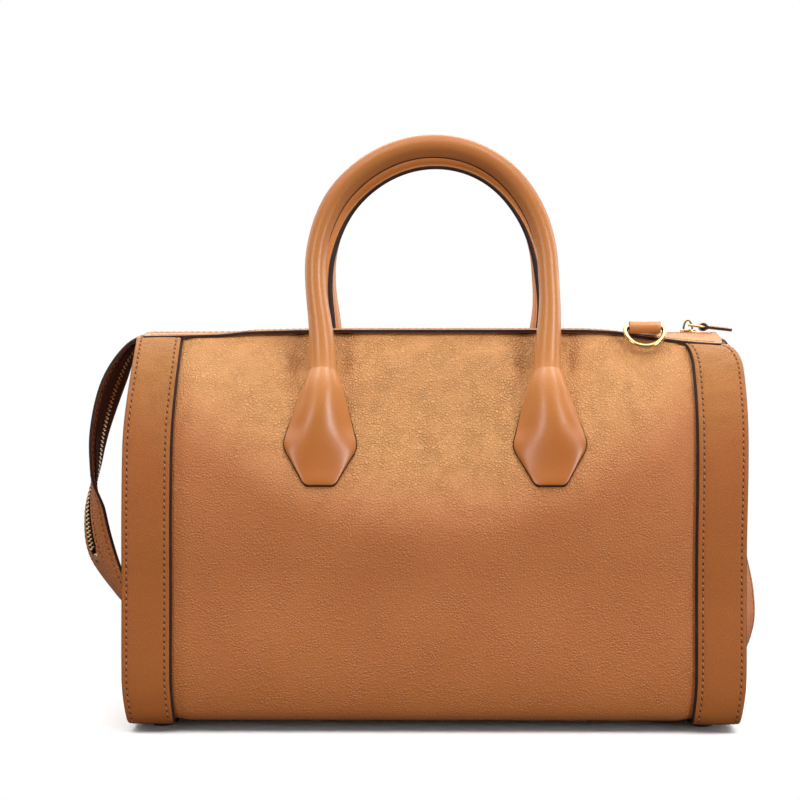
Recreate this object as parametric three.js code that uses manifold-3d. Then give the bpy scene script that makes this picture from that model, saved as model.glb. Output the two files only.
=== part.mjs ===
// A leather bowling bag: two curved walls on a flat base, raised end bands, a zip along the mouth whose leather
// strips run on as tails down both ends, two rolled handles on sewn tabs, a D-ring and four feet.
// Millimetres. X runs along the bag, the front faces -Y and the feet stand on Z = 0.
import * as THREE from "three";
import { mergeVertices } from "three/addons/utils/BufferGeometryUtils.js";
import Module from "manifold-3d";

const wasm = await Module();
wasm.setup();

// Clearance between pieces that touch on the real bag.
const GAP = 0.3;

// Body
const BODY_LENGTH = 350;
const LEATHER = 2.4;
const LINING_WALL = 0.8;
const BAND_WALL = 2;
const BAND_WIDTH = 27.5;
const END_INSET = 6;
const BELLY_HALF_DEPTH = 77.5;
const BELLY_HEIGHT = 95;
const MOUTH_HALF_DEPTH = 31;
const MOUTH_HEIGHT = 225;
const MOUTH_SLOPE = THREE.MathUtils.degToRad(28);
const SHOULDER_REACH = 36;
const SHOULDER_RISE = 70;
const BASE_TUCK = 23.5;
const BASE_CORNER = 23;
const BASE_CORNER_RISE = 45;
const END_PANEL_DROP = 3;
const LINING_DROP = 2;
const SHAPER_WALL = 2;
const SHAPER_MARGIN = 3;

// How the soft ends settle: drawn in at the top and the bottom, and lower at the mouth's two ends.
const TOP_DRAW_IN = 3.5;
const BOTTOM_DRAW_IN = 3;
const BOTTOM_DRAW_HEIGHT = 34;
const LEFT_MOUTH_DROP = 2.5;
const RIGHT_MOUTH_DROP = 7;

// Feet
const FOOT_HEIGHT = 5.5;
const FOOT_DIAMETER = 12.4;
const FOOT_TREAD = 10;
const FOOT_END_INSET = 20;
const FOOT_EDGE_INSET = 4;

// Zip strips over the mouth
const STRIP_WALL = 2.2;
const STRIP_HALF_DEPTH = 34;
const SLOT_HALF = 5.5;
const ZIP_SAG = 2;
const STRIP_END_INSET = 7;
const FLAP_SHARE = 0.6;

// Zip tails, from the strip's bend to the sewn end: distance off the end panel, share of the zip's height, and twist
// in radians.
const TAIL_WIDTH = 40;
const TAIL_SHOULDER = 2;
const LEFT_TAIL = [
  [7.5, 0.975, 0.05],
  [18.5, 0.882, 0.2],
  [27, 0.744, 0.12],
  [30, 0.629, -0.07],
  [32, 0.523, -0.4],
  [26.5, 0.408, -0.52],
  [13, 0.31, -0.28],
  [3.2, 0.2525, -0.05],
  [0.6, 0.213, 0],
  [0.4, 0.186, 0],
];
const RIGHT_TAIL = [
  [3.5, 0.957, 0],
  [7.5, 0.877, 0],
  [9.5, 0.665, 0],
  [12, 0.43, 0],
  [17, 0.266, 0],
  [11.5, 0.146, 0],
  [3.2, 0.106, 0],
  [0.6, 0.08, 0],
  [0.4, 0.062, 0],
];
const LEFT_ZIP_RUN = 150;

// Zip
const TAPE_WALL = 0.8;
const TAPE_HALF_WIDTH = 13;
const TAPE_EDGE = 0.2;
const TEETH_PITCH = 2.5;
const TOOTH_LENGTH = 0.9;
const TEETH_WALL = 2;
const TEETH_HALF_WIDTH = 2.6;
const TEETH_BEAD = 1.2;
const STOP_LENGTH = 4.5;
const SLIDER_END_INSET = 16;
const SLIDER_LENGTH = 9;
const SLIDER_PLATE = 1.5;
const SLIDER_LIP = 1.2;
const BRIDGE_HEIGHT = 6;
const BRIDGE_LENGTH = 6.4;
const BRIDGE_WALL = 1.2;
const BRIDGE_WIDTH = 2;
const LINK_WIRE = 1.4;
const LINK_HALF_WIDTH = 5;
const LINK_LENGTH = 8;
const PULL_LENGTH = 17;
const PULL_WALL = 1.6;
const PULL_DROOP = THREE.MathUtils.degToRad(6.5);

// D-ring and its tab
const RING_END_INSET = 45.5;
const RING_WIDTH = 25.4;
const RING_WIRE = 3;
const RING_REACH = 12.5;
const RING_CORNER = 2;
const RING_LEAN = THREE.MathUtils.degToRad(60);
const RING_TAB_WIDTH = 18;
const RING_TAB_WALL = 1.85;
const RING_TAB_LENGTH = 18;

// Handles
const HANDLE_SPAN = 133.6;
const HANDLE_RISE = 114;
const HANDLE_DIAMETER = 11.8;
const HANDLE_NECK_DIAMETER = 14.4;
const HANDLE_FLARE = 75;
const HANDLE_HALF_DEPTH = 52.5;
const HANDLE_LEATHER = 1.6;

// Sewn handle tabs
const TAB_SPLAY = 2.4;
const TAB_NECK_DROP = 26;
const TAB_LENGTH = 61.5;
const TAB_WIDEST_AT = 39;
const TAB_NECK_WIDTH = 16;
const TAB_WIDTH = 41;
const TAB_TOE_WIDTH = 15;
const TAB_PADDING = 4.4;
const TAB_EDGE = 1.6;

// Facets
const WALL_STATIONS = 16;
const END_STATIONS = 3;
const CORNER_WEIGHT = 90;
const HANDLE_SIDES = 8;
const CORE_SIDES = 6;
const ARCH_STATIONS = 13;
const LEG_STATIONS = 7;
const TAB_STATIONS = 3;
const TAB_COLUMNS = 7;
const SLOT_STATIONS = 16;
const FALL_STATIONS = 7;
const WIRE_SIDES = 7;
const LINK_STEPS = 20;
const RING_STEPS = 28;
const LOOP_SIDES = 12;
const FOOT_SIDES = 16;

// Levels that follow from the sizes above.
const BASE_HEIGHT = FOOT_HEIGHT + GAP + BAND_WALL + GAP;
const HALF_LENGTH = BODY_LENGTH / 2;
const BASE_HALF_DEPTH = BELLY_HALF_DEPTH - BASE_TUCK;
const FOOT_HALF_SPAN = HALF_LENGTH - FOOT_END_INSET;
const FOOT_HALF_TRACK = BASE_HALF_DEPTH - FOOT_EDGE_INSET;
const FLAP_HALF = HALF_LENGTH * FLAP_SHARE;
const STRIP_HALF = HALF_LENGTH - STRIP_END_INSET;
const SLIDER_REST = STRIP_HALF - SLIDER_END_INSET;
const RING_PLACE = STRIP_HALF - RING_END_INSET;
const TAB_HALF_SPAN = HANDLE_SPAN / 2 - TAB_SPLAY;
const TAB_NECK_HEIGHT = MOUTH_HEIGHT - TAB_NECK_DROP;
const HANDLE_TOP = MOUTH_HEIGHT + HANDLE_RISE;
const STRIP_SLOPE = ZIP_SAG / (STRIP_HALF_DEPTH - SLOT_HALF);
const TAIL_SEAT = HALF_LENGTH - END_INSET + GAP + STRIP_WALL;
const ZIP_TOP = stripTop(SLOT_HALF);
const TAPE_TOP = ZIP_TOP - STRIP_WALL - GAP;
const TEETH_TOP = TAPE_TOP + GAP + TEETH_WALL;
const SLIDER_TOP = TEETH_TOP + GAP + SLIDER_PLATE;
const LINK_AXIS = SLIDER_TOP + (BRIDGE_HEIGHT - BRIDGE_WALL) / 2;
const RING_TAB_BORE = RING_WIRE / 2 + GAP;
const RING_TAB_RADIUS = RING_TAB_BORE + RING_TAB_WALL;
const RING_AXIS_DEPTH = STRIP_HALF_DEPTH + GAP + RING_TAB_RADIUS;
const RING_AXIS_HEIGHT = stripTop(STRIP_HALF_DEPTH) + GAP + RING_TAB_WALL / 2;
const NECK_RADIUS = HANDLE_NECK_DIAMETER / 2;

const FRONT = -1;
const BACK = 1;

const leather = new THREE.MeshStandardMaterial({ color: 0xb98552, roughness: 0.5 });
const smoothLeather = new THREE.MeshStandardMaterial({ color: 0xa9703f, roughness: 0.42 });
const lining = new THREE.MeshStandardMaterial({ color: 0x5b3a26, roughness: 0.95 });
const board = new THREE.MeshStandardMaterial({ color: 0x3a2a20, roughness: 0.9 });
const rope = new THREE.MeshStandardMaterial({ color: 0xd8c9a8, roughness: 0.95 });
const tape = new THREE.MeshStandardMaterial({ color: 0x3b2317, roughness: 0.9 });
const gold = new THREE.MeshStandardMaterial({ color: 0xd9b25f, roughness: 0.25, metalness: 1 });
const footing = new THREE.MeshStandardMaterial({ color: 0x4a3020, roughness: 0.45 });

/** Height of the zip strips' upper face at a distance from the bag's middle plane. */
function stripTop(depth) {
  return MOUTH_HEIGHT + GAP + STRIP_WALL + (depth - MOUTH_HALF_DEPTH) * STRIP_SLOPE;
}

/** Evenly spaced values, both ends included. */
function spaced(from, to, steps) {
  return Array.from({ length: steps + 1 }, (_, i) => THREE.MathUtils.lerp(from, to, i / steps));
}

/** Curves laid end to end: their whole length, and the point at a distance along them. */
function runOf(...curves) {
  const lengths = curves.map((curve) => curve.getLength());
  const length = lengths.reduce((sum, each) => sum + each);
  const at = (distance) => {
    let rest = distance;
    let i = 0;
    while (i < curves.length - 1 && rest > lengths[i]) {
      rest -= lengths[i];
      i += 1;
    }
    return curves[i].getPointAt(THREE.MathUtils.clamp(rest / lengths[i], 0, 1));
  };
  return { length, at };
}

/** Direction of a run at a distance along it, taken over a reach to both sides. */
function directionOf(run, distance, reach) {
  return run.at(distance + reach).sub(run.at(distance - reach)).normalize();
}

// Outer face of a wall: distance from the middle plane against height, from the mouth over the belly to the base.
const shoulderCurve = new THREE.CubicBezierCurve(
  new THREE.Vector2(MOUTH_HALF_DEPTH, MOUTH_HEIGHT),
  new THREE.Vector2(
    MOUTH_HALF_DEPTH + SHOULDER_REACH * Math.cos(MOUTH_SLOPE),
    MOUTH_HEIGHT - SHOULDER_REACH * Math.sin(MOUTH_SLOPE),
  ),
  new THREE.Vector2(BELLY_HALF_DEPTH, BELLY_HEIGHT + SHOULDER_RISE),
  new THREE.Vector2(BELLY_HALF_DEPTH, BELLY_HEIGHT),
);
const cornerCurve = new THREE.CubicBezierCurve(
  new THREE.Vector2(BELLY_HALF_DEPTH, BELLY_HEIGHT),
  new THREE.Vector2(BELLY_HALF_DEPTH, BELLY_HEIGHT - BASE_CORNER_RISE),
  new THREE.Vector2(BASE_HALF_DEPTH + BASE_CORNER, BASE_HEIGHT),
  new THREE.Vector2(BASE_HALF_DEPTH, BASE_HEIGHT),
);
const wallProfile = runOf(shoulderCurve, cornerCurve);
const WALL_GIRTH = wallProfile.length;

/** Shares of the profile's length, closer together where it turns more. */
function turningShares(count) {
  const shares = spaced(0, 1, 60 * count);
  const directions = shares.map((share) => directionOf(wallProfile, share * WALL_GIRTH, GAP));
  const measure = [0];
  for (let i = 1; i < shares.length; i++) {
    const turn = Math.abs(directions[i].cross(directions[i - 1]));
    measure.push(measure[i - 1] + (shares[i] - shares[i - 1]) * WALL_GIRTH + turn * CORNER_WEIGHT);
  }
  const reaches = spaced(0, measure.at(-1), count - 1);
  return reaches.map((reach) => shares[measure.findIndex((m) => m >= reach - 1e-6)]);
}
const wallShares = turningShares(WALL_STATIONS);

/** A point on the profile at one of the wall's stations, moved outward along its normal. */
function stationAt(share, offset) {
  const point = wallProfile.at(share * WALL_GIRTH);
  const along = directionOf(wallProfile, share * WALL_GIRTH, GAP);
  return new THREE.Vector2(point.x - along.y * offset, point.y + along.x * offset);
}

/** A point on the faceted wall, moved outward: every layer stays parallel to it, facet by facet. */
function wallAt(share, offset) {
  const next = Math.max(1, wallShares.findIndex((station) => station >= share - 1e-9));
  const [from, to] = [wallShares[next - 1], wallShares[next]];
  return stationAt(from, offset).lerp(stationAt(to, offset), (share - from) / (to - from));
}

/** Share of the profile's length at which a measure of its point, falling or rising, reaches a value. */
function wallShare(reached) {
  let low = 0;
  let high = 1;
  for (let i = 0; i < 40; i++) {
    const middle = (low + high) / 2;
    if (reached(wallProfile.at(middle * WALL_GIRTH))) high = middle;
    else low = middle;
  }
  return high;
}

/** How far the mouth has sunk at a place along the bag. */
function mouthDrop(x) {
  const drop = x < 0 ? LEFT_MOUTH_DROP : RIGHT_MOUTH_DROP;
  return drop * THREE.MathUtils.smoothstep(Math.abs(x), FLAP_HALF, HALF_LENGTH);
}

/** Height of the strips' outer edge at a place along the bag. */
function settledEdge(x) {
  return stripTop(STRIP_HALF_DEPTH) - mouthDrop(x);
}

/** Moves a point of the straight bag to where the soft leather has settled. */
function settle(point) {
  const end = THREE.MathUtils.smoothstep(Math.abs(point.x), FLAP_HALF, HALF_LENGTH);
  const high = THREE.MathUtils.smoothstep(point.z, (BELLY_HEIGHT + MOUTH_HEIGHT) / 2, MOUTH_HEIGHT);
  const low = 1 - THREE.MathUtils.smoothstep(point.z, 0, BOTTOM_DRAW_HEIGHT);
  const drawIn = (TOP_DRAW_IN * high + BOTTOM_DRAW_IN * low) * end;
  return new THREE.Vector3(
    point.x - Math.sign(point.x) * drawIn,
    point.y,
    point.z - mouthDrop(point.x) * high,
  );
}

/** Turns points and triangles into a geometry whose faces point outward. */
function closedGeometry(points, triangles) {
  const at = (i) => points[i];
  const volume = triangles.reduce(
    (sum, [a, b, c]) => sum + at(a).dot(new THREE.Vector3().crossVectors(at(b), at(c))),
    0,
  );
  const faced = volume < 0 ? triangles.map(([a, b, c]) => [a, c, b]) : triangles;
  const geometry = new THREE.BufferGeometry().setFromPoints(points);
  geometry.setIndex(faced.flat());
  return geometry;
}

/**
 * A sheet between two matching grids of points, closed along every edge.
 * With wrap the last column joins the first; present says which cells hold material.
 */
function sheetSolid(outer, inner, { wrap = false, present = () => true } = {}) {
  const rows = outer.length;
  const columns = outer[0].length;
  const cells = wrap ? columns : columns - 1;
  const points = [...outer.flat(), ...inner.flat()];
  const triangles = [];
  const filled = (i, j) => {
    if (i < 0 || i >= rows - 1) return false;
    if (!wrap && (j < 0 || j >= cells)) return false;
    return present(i, (j + cells) % cells);
  };
  const upper = (i, j) => i * columns + (j % columns);
  const lower = (i, j) => rows * columns + upper(i, j);
  const quad = (a, b, c, d) => triangles.push([a, b, c], [a, c, d]);
  for (let i = 0; i < rows - 1; i++) {
    for (let j = 0; j < cells; j++) {
      if (!filled(i, j)) continue;
      quad(upper(i, j), upper(i + 1, j), upper(i + 1, j + 1), upper(i, j + 1));
      quad(lower(i, j), lower(i, j + 1), lower(i + 1, j + 1), lower(i + 1, j));
      if (!filled(i - 1, j)) quad(upper(i, j), upper(i, j + 1), lower(i, j + 1), lower(i, j));
      if (!filled(i + 1, j)) quad(upper(i + 1, j + 1), upper(i + 1, j), lower(i + 1, j), lower(i + 1, j + 1));
      if (!filled(i, j - 1)) quad(upper(i + 1, j), upper(i, j), lower(i, j), lower(i + 1, j));
      if (!filled(i, j + 1)) quad(upper(i, j + 1), upper(i + 1, j + 1), lower(i + 1, j + 1), lower(i, j + 1));
    }
  }
  return closedGeometry(points, triangles);
}

/** A solid rod through rings of points, with a fan on each end, or closed on itself. */
function rodSolid(rings, closed = false) {
  const sides = rings[0].length;
  const points = rings.flat();
  const triangles = [];
  const at = (i, j) => (i % rings.length) * sides + (j % sides);
  const spans = closed ? rings.length : rings.length - 1;
  for (let i = 0; i < spans; i++) {
    for (let j = 0; j < sides; j++) {
      triangles.push([at(i, j), at(i + 1, j), at(i + 1, j + 1)], [at(i, j), at(i + 1, j + 1), at(i, j + 1)]);
    }
  }
  if (!closed) {
    const last = rings.length - 1;
    for (let j = 1; j < sides - 1; j++) {
      triangles.push([at(0, 0), at(0, j), at(0, j + 1)], [at(last, 0), at(last, j + 1), at(last, j)]);
    }
  }
  return closedGeometry(points, triangles);
}

/** A round ring of points about a centre, in the plane of two axes. */
function ringOf(centre, first, second, radius, sides) {
  return Array.from({ length: sides }, (_, j) => {
    const turn = (2 * Math.PI * (j + 0.5)) / sides;
    return centre
      .clone()
      .addScaledVector(first, radius * Math.cos(turn))
      .addScaledVector(second, radius * Math.sin(turn));
  });
}

/** A bent wire along a closed flat outline, lying in the XY plane. */
function wireLoop(outline, wire, steps) {
  const flat = outline.getSpacedPoints(steps).slice(0, -1);
  const up = new THREE.Vector3(0, 0, 1);
  const rings = flat.map((point, i) => {
    const before = flat[(i + flat.length - 1) % flat.length];
    const after = flat[(i + 1) % flat.length];
    const across = new THREE.Vector3(after.y - before.y, before.x - after.x, 0).normalize();
    return ringOf(new THREE.Vector3(point.x, point.y, 0), across, up, wire / 2, WIRE_SIDES);
  });
  return rodSolid(rings, true);
}

/** A closed three.js geometry as a solid that can be joined or cut. */
function solidOf(geometry) {
  const bare = new THREE.BufferGeometry().setAttribute("position", geometry.getAttribute("position").clone());
  if (geometry.index) bare.setIndex(geometry.index.clone());
  const merged = mergeVertices(bare, 1e-4);
  return new wasm.Manifold(
    new wasm.Mesh({
      numProp: 3,
      vertProperties: new Float32Array(merged.getAttribute("position").array),
      triVerts: new Uint32Array(merged.index.array),
    }),
  );
}

/** A joined or cut solid back as a geometry. */
function geometryOf(solid) {
  const mesh = solid.getMesh();
  return new THREE.BufferGeometry()
    .setAttribute("position", new THREE.BufferAttribute(new Float32Array(mesh.vertProperties), 3))
    .setIndex(new THREE.BufferAttribute(new Uint32Array(mesh.triVerts), 1));
}

/** Several closed geometries joined into one. */
function joined(...geometries) {
  return geometryOf(geometries.map(solidOf).reduce((whole, next) => whole.add(next)));
}

/** A box between two corners. */
function boxBetween(low, high) {
  const size = high.map((v, i) => v - low[i]);
  return new THREE.BoxGeometry(...size).translate(...low.map((v, i) => v + size[i] / 2));
}

const bag = new THREE.Group();

/** Adds one named piece to a group. */
function addPiece(parent, name, geometry, material) {
  const piece = new THREE.Mesh(geometry, material);
  piece.name = name;
  parent.add(piece);
  return piece;
}

// Walls, base, lining and bands

// Places along the bag: both settled ends in steps, and the straight middle.
const endPlaces = spaced(FLAP_HALF, HALF_LENGTH, END_STATIONS);

/** The walls' own places along one end of the bag, between two distances from its middle. */
function placesBetween(near, far) {
  const inner = endPlaces.filter((x) => x > near + GAP && x < far - GAP);
  return [near, ...inner, far];
}

/** Places from one end of the bag to the other. */
function lengthwise(half) {
  const end = placesBetween(FLAP_HALF, half);
  return [...end.map((x) => -x).reverse(), 0, ...end];
}

/** A grid that follows one wall at a distance from its outer face. */
function wallGrid(side, shares, places, offset) {
  return shares.map((share) => {
    const at = wallAt(share, offset);
    return places.map((x) => settle(new THREE.Vector3(x, side * at.x, at.y)));
  });
}

/** A place on the profile and the wall's own stations below it. */
function sharesBelow(from) {
  return [from, ...wallShares.filter((share) => share > from + GAP / WALL_GIRTH)];
}

/** A grid that runs down the front wall, under the base and up the back wall. */
function girthGrid(shares, places, offset) {
  return [
    ...wallGrid(FRONT, shares, places, offset),
    ...wallGrid(BACK, [...shares].reverse(), places, offset),
  ];
}

const shell = new THREE.Group();
bag.add(shell);

const wallPlaces = lengthwise(HALF_LENGTH);
for (const [name, side] of [["front_panel", FRONT], ["back_panel", BACK]]) {
  const outer = wallGrid(side, wallShares, wallPlaces, 0);
  const inner = wallGrid(side, wallShares, wallPlaces, -LEATHER);
  addPiece(shell, name, sheetSolid(outer, inner), leather);
}

const baseEdge = BASE_HALF_DEPTH - GAP;
const baseGrid = (height) =>
  [-baseEdge, baseEdge].map((y) => wallPlaces.map((x) => settle(new THREE.Vector3(x, y, height))));
addPiece(shell, "base_panel", sheetSolid(baseGrid(BASE_HEIGHT), baseGrid(BASE_HEIGHT + LEATHER)), smoothLeather);

const liningHalf = HALF_LENGTH - END_INSET - LEATHER - GAP;
const liningPlaces = lengthwise(liningHalf);
const liningShares = sharesBelow(wallShare((point) => point.y < MOUTH_HEIGHT - LINING_DROP));
addPiece(
  shell,
  "lining",
  sheetSolid(
    girthGrid(liningShares, liningPlaces, -LEATHER - GAP),
    girthGrid(liningShares, liningPlaces, -LEATHER - GAP - LINING_WALL),
  ),
  lining,
);

const shaperFloor = BASE_HEIGHT + LEATHER + GAP + LINING_WALL + GAP;
const shaperHalf = liningHalf - BOTTOM_DRAW_IN - SHAPER_MARGIN;
addPiece(
  shell,
  "base_shaper",
  boxBetween(
    [-shaperHalf, -BASE_HALF_DEPTH + SHAPER_MARGIN, shaperFloor],
    [shaperHalf, BASE_HALF_DEPTH - SHAPER_MARGIN, shaperFloor + SHAPER_WALL],
  ),
  board,
);

/** An end panel: the bag's inner outline as a sheet across the end, its top edge up under the zip tape. */
function endPanel(end) {
  const top = wallShare((point) => point.y < MOUTH_HEIGHT - END_PANEL_DROP);
  const slope = (settledEdge(end * HALF_LENGTH) - ZIP_TOP) / (STRIP_HALF_DEPTH - SLOT_HALF);
  const crest = TAPE_TOP - TAPE_WALL - GAP + Math.min(slope, 0) * (TAPE_HALF_WIDTH - SLOT_HALF);
  const columns = 4;
  const grid = (x) =>
    sharesBelow(top).map((share, row) => {
      const at = wallAt(share, -LEATHER - GAP);
      return spaced(-at.x, at.x, columns).map((y, column) => {
        const point = settle(new THREE.Vector3(end * x, y, at.y));
        if (row === 0 && column % columns !== 0) point.z = crest;
        return point;
      });
    });
  return sheetSolid(grid(HALF_LENGTH - END_INSET), grid(HALF_LENGTH - END_INSET - LEATHER));
}
addPiece(shell, "left_end_panel", endPanel(-1), leather);
addPiece(shell, "right_end_panel", endPanel(1), leather);

/** A band round one end, from the front strip edge under the base to the back strip edge. */
function endBand(end) {
  const clear = STRIP_HALF_DEPTH + GAP;
  const shares = sharesBelow(wallShare((point) => point.x > clear));
  const places = placesBetween(HALF_LENGTH - BAND_WIDTH, HALF_LENGTH).map((x) => end * x);
  return sheetSolid(girthGrid(shares, places, GAP + BAND_WALL), girthGrid(shares, places, GAP));
}
addPiece(shell, "left_band", endBand(-1), smoothLeather);
addPiece(shell, "right_band", endBand(1), smoothLeather);

// Feet

const footProfile = [
  [0, 0],
  [FOOT_TREAD / 2, 0],
  [FOOT_DIAMETER / 2, FOOT_HEIGHT * 0.4],
  [FOOT_DIAMETER / 2, FOOT_HEIGHT],
  [0, FOOT_HEIGHT],
].map(([radius, height]) => new THREE.Vector2(radius, height));
for (const [row, y] of [["front", -FOOT_HALF_TRACK], ["back", FOOT_HALF_TRACK]]) {
  for (const [end, x] of [["left", -FOOT_HALF_SPAN], ["right", FOOT_HALF_SPAN]]) {
    const geometry = new THREE.LatheGeometry(footProfile, FOOT_SIDES).rotateX(Math.PI / 2);
    addPiece(shell, `${row}_${end}_foot`, geometry, footing).position.set(x, y, 0);
  }
}

// Zip strips over the mouth

const zip = new THREE.Group();
bag.add(zip);

/** The hinged middle of one strip, with its half of the tape and its row of teeth. */
function addFlap(name, side) {
  const half = FLAP_HALF - GAP / 2;
  const grid = (drop) =>
    [-half, half].map((x) =>
      [STRIP_HALF_DEPTH, SLOT_HALF].map((depth) => new THREE.Vector3(x, side * depth, stripTop(depth) - drop)),
    );
  addPiece(zip, `${name}_zip_strip`, sheetSolid(grid(0), grid(STRIP_WALL)), leather);

  const edges = [side * TAPE_EDGE, side * TAPE_HALF_WIDTH].sort((a, b) => a - b);
  addPiece(
    zip,
    `${name}_zip_tape`,
    boxBetween([-half, edges[0], TAPE_TOP - TAPE_WALL], [half, edges[1], TAPE_TOP]),
    tape,
  );

  // A comb: a bead along the tape, with teeth that reach between those of the other row.
  const comb = new THREE.Shape();
  const phase = side === FRONT ? 0 : TEETH_PITCH / 2;
  const count = Math.floor((2 * half - TEETH_PITCH) / TEETH_PITCH);
  const first = -(count * TEETH_PITCH) / 2 + phase;
  comb.moveTo(-half, TEETH_HALF_WIDTH);
  comb.lineTo(-half, TEETH_BEAD);
  for (let i = 0; i < count; i++) {
    const at = first + i * TEETH_PITCH;
    comb.lineTo(at, TEETH_BEAD);
    comb.lineTo(at, GAP - TEETH_BEAD);
    comb.lineTo(at + TOOTH_LENGTH, GAP - TEETH_BEAD);
    comb.lineTo(at + TOOTH_LENGTH, TEETH_BEAD);
  }
  comb.lineTo(half, TEETH_BEAD);
  comb.lineTo(half, TEETH_HALF_WIDTH);
  const teeth = new THREE.ExtrudeGeometry(comb, { depth: TEETH_WALL, bevelEnabled: false });
  if (side === FRONT) teeth.rotateX(Math.PI).translate(0, 0, TEETH_WALL);
  addPiece(zip, `${name}_zip_teeth`, teeth.translate(0, 0, TEETH_TOP - TEETH_WALL), gold);
}
addFlap("front", FRONT);
addFlap("back", BACK);

/** The run of one strip end: level to its bend, then down the end of the bag to where it is sewn on. */
function tailPath(rows) {
  const start = new THREE.Vector3(FLAP_HALF + GAP / 2, ZIP_TOP, 0);
  const bend = new THREE.Vector3(STRIP_HALF, ZIP_TOP, 0);
  const points = rows.map(([off, share, twist]) => new THREE.Vector3(TAIL_SEAT + off, share * ZIP_TOP, twist));
  const level = new THREE.LineCurve3(start, bend);
  const fall = new THREE.CatmullRomCurve3([bend, ...points]);
  return { run: runOf(level, fall), bend: level.getLength() };
}

/** Centre, width direction and normal of a tail at a distance along its run. */
function tailFrame(run, end, distance) {
  const at = run.at(distance);
  const along = directionOf(run, distance, TAIL_SHOULDER);
  const flat = new THREE.Vector2(along.x, along.y).normalize();
  const outward = new THREE.Vector3(-end * flat.y, 0, flat.x);
  const back = new THREE.Vector3(0, 1, 0);
  const normal = outward.clone().multiplyScalar(Math.cos(at.z)).addScaledVector(back, Math.sin(at.z));
  const width = back.clone().multiplyScalar(Math.cos(at.z)).addScaledVector(outward, -Math.sin(at.z));
  return { centre: new THREE.Vector3(end * at.x, 0, at.y), width, normal };
}

/** A point of a tail: across it, and above or below its outer face. */
function tailPoint(frame, across, rise) {
  return frame.centre.clone().addScaledVector(frame.width, across).addScaledVector(frame.normal, rise);
}

/** The frame at a distance along a tail, straight between the two stations beside it. */
function frameBetween(frames, distance) {
  const next = Math.max(1, frames.findIndex((frame) => frame.distance >= distance));
  const [a, b] = [frames[next - 1], frames[next]];
  const share = (distance - a.distance) / (b.distance - a.distance);
  const mix = (key) => a[key].clone().lerp(b[key], share);
  return { centre: mix("centre"), width: mix("width"), normal: mix("normal") };
}

/** A strip end with its tail, slotted for the zip, and the closed chain and tape that it carries. */
function addTail(name, end, rows, zipRun) {
  const { run, bend } = tailPath(rows);
  const stopRoom = STOP_LENGTH + 2 * GAP + LINK_WIRE;
  const slotEnd = zipRun > 0 ? bend + zipRun : bend;
  const chainEnd = slotEnd - stopRoom;
  const shoulder = bend + TAIL_SHOULDER;
  const slotSteps = zipRun > 0 ? spaced(shoulder, slotEnd, SLOT_STATIONS) : [shoulder];
  const fallCount = FALL_STATIONS + SLOT_STATIONS - slotSteps.length;
  const fallSteps = spaced(Math.max(shoulder, slotEnd), run.length, fallCount);
  const stations = [...spaced(0, bend, END_STATIONS), ...slotSteps, ...fallSteps.slice(1)];
  const frames = stations.map((distance) => ({ distance, ...tailFrame(run, end, distance) }));

  // Level at the slot, and sloping to the settled edge where the strip still lies on the mouth.
  const stripPoint = (frame, across, drop) => {
    const point = tailPoint(frame, across, -drop);
    const beyond = Math.abs(across) - SLOT_HALF;
    if (frame.distance > bend || beyond <= 0) return point;
    const fall = settledEdge(point.x) - ZIP_TOP;
    point.z += (fall * beyond) / (STRIP_HALF_DEPTH - SLOT_HALF);
    return point;
  };
  const grid = (drop) =>
    frames.map((frame) => {
      const edge = frame.distance > bend ? TAIL_WIDTH / 2 : STRIP_HALF_DEPTH;
      const columns = [-edge, -TAPE_HALF_WIDTH, -SLOT_HALF, SLOT_HALF, TAPE_HALF_WIDTH, edge];
      return columns.map((across) => stripPoint(frame, across, drop));
    });
  const present = (i, j) => j !== 2 || stations[i] >= slotEnd - GAP;
  addPiece(zip, `${name}_zip_tail`, sheetSolid(grid(0), grid(STRIP_WALL), { present }), leather);

  const tapeTop = STRIP_WALL + GAP;
  const tapeColumns = [-TAPE_HALF_WIDTH, -SLOT_HALF, 0, SLOT_HALF, TAPE_HALF_WIDTH];
  const tapeGrid = (drop) =>
    frames
      .filter((frame) => frame.distance <= slotEnd)
      .map((frame) => tapeColumns.map((across) => stripPoint(frame, across, drop)));
  addPiece(zip, `${name}_zip_tape`, sheetSolid(tapeGrid(tapeTop), tapeGrid(tapeTop + TAPE_WALL)), tape);

  // The closed chain as a ribbon whose two edges are toothed, and the stop that ends it.
  const chainRise = TEETH_TOP - ZIP_TOP;
  const ribbon = (distances, halfAt) => {
    const grid = (rise) =>
      distances.map((distance, i) => {
        const frame = frameBetween(frames, distance);
        return [-halfAt(i), halfAt(i)].map((across) => tailPoint(frame, across, rise));
      });
    return sheetSolid(grid(chainRise), grid(chainRise - TEETH_WALL));
  };
  const count = Math.floor((chainEnd - GAP) / (TEETH_PITCH / 2));
  const toothed = (i) => (i % 2 ? TEETH_HALF_WIDTH : TEETH_BEAD);
  addPiece(zip, `${name}_zip_teeth`, ribbon(spaced(GAP, GAP + (count * TEETH_PITCH) / 2, count), toothed), gold);
  const stop = [chainEnd + GAP, chainEnd + GAP + STOP_LENGTH];
  addPiece(zip, `${name}_zip_stop`, ribbon(stop, () => TEETH_HALF_WIDTH), gold);
}
addTail("left", -1, LEFT_TAIL, LEFT_ZIP_RUN);
addTail("right", 1, RIGHT_TAIL, 0);

// Slider, link and leather pull

const slider = new THREE.Group();
slider.position.x = SLIDER_REST;
zip.add(slider);

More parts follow.
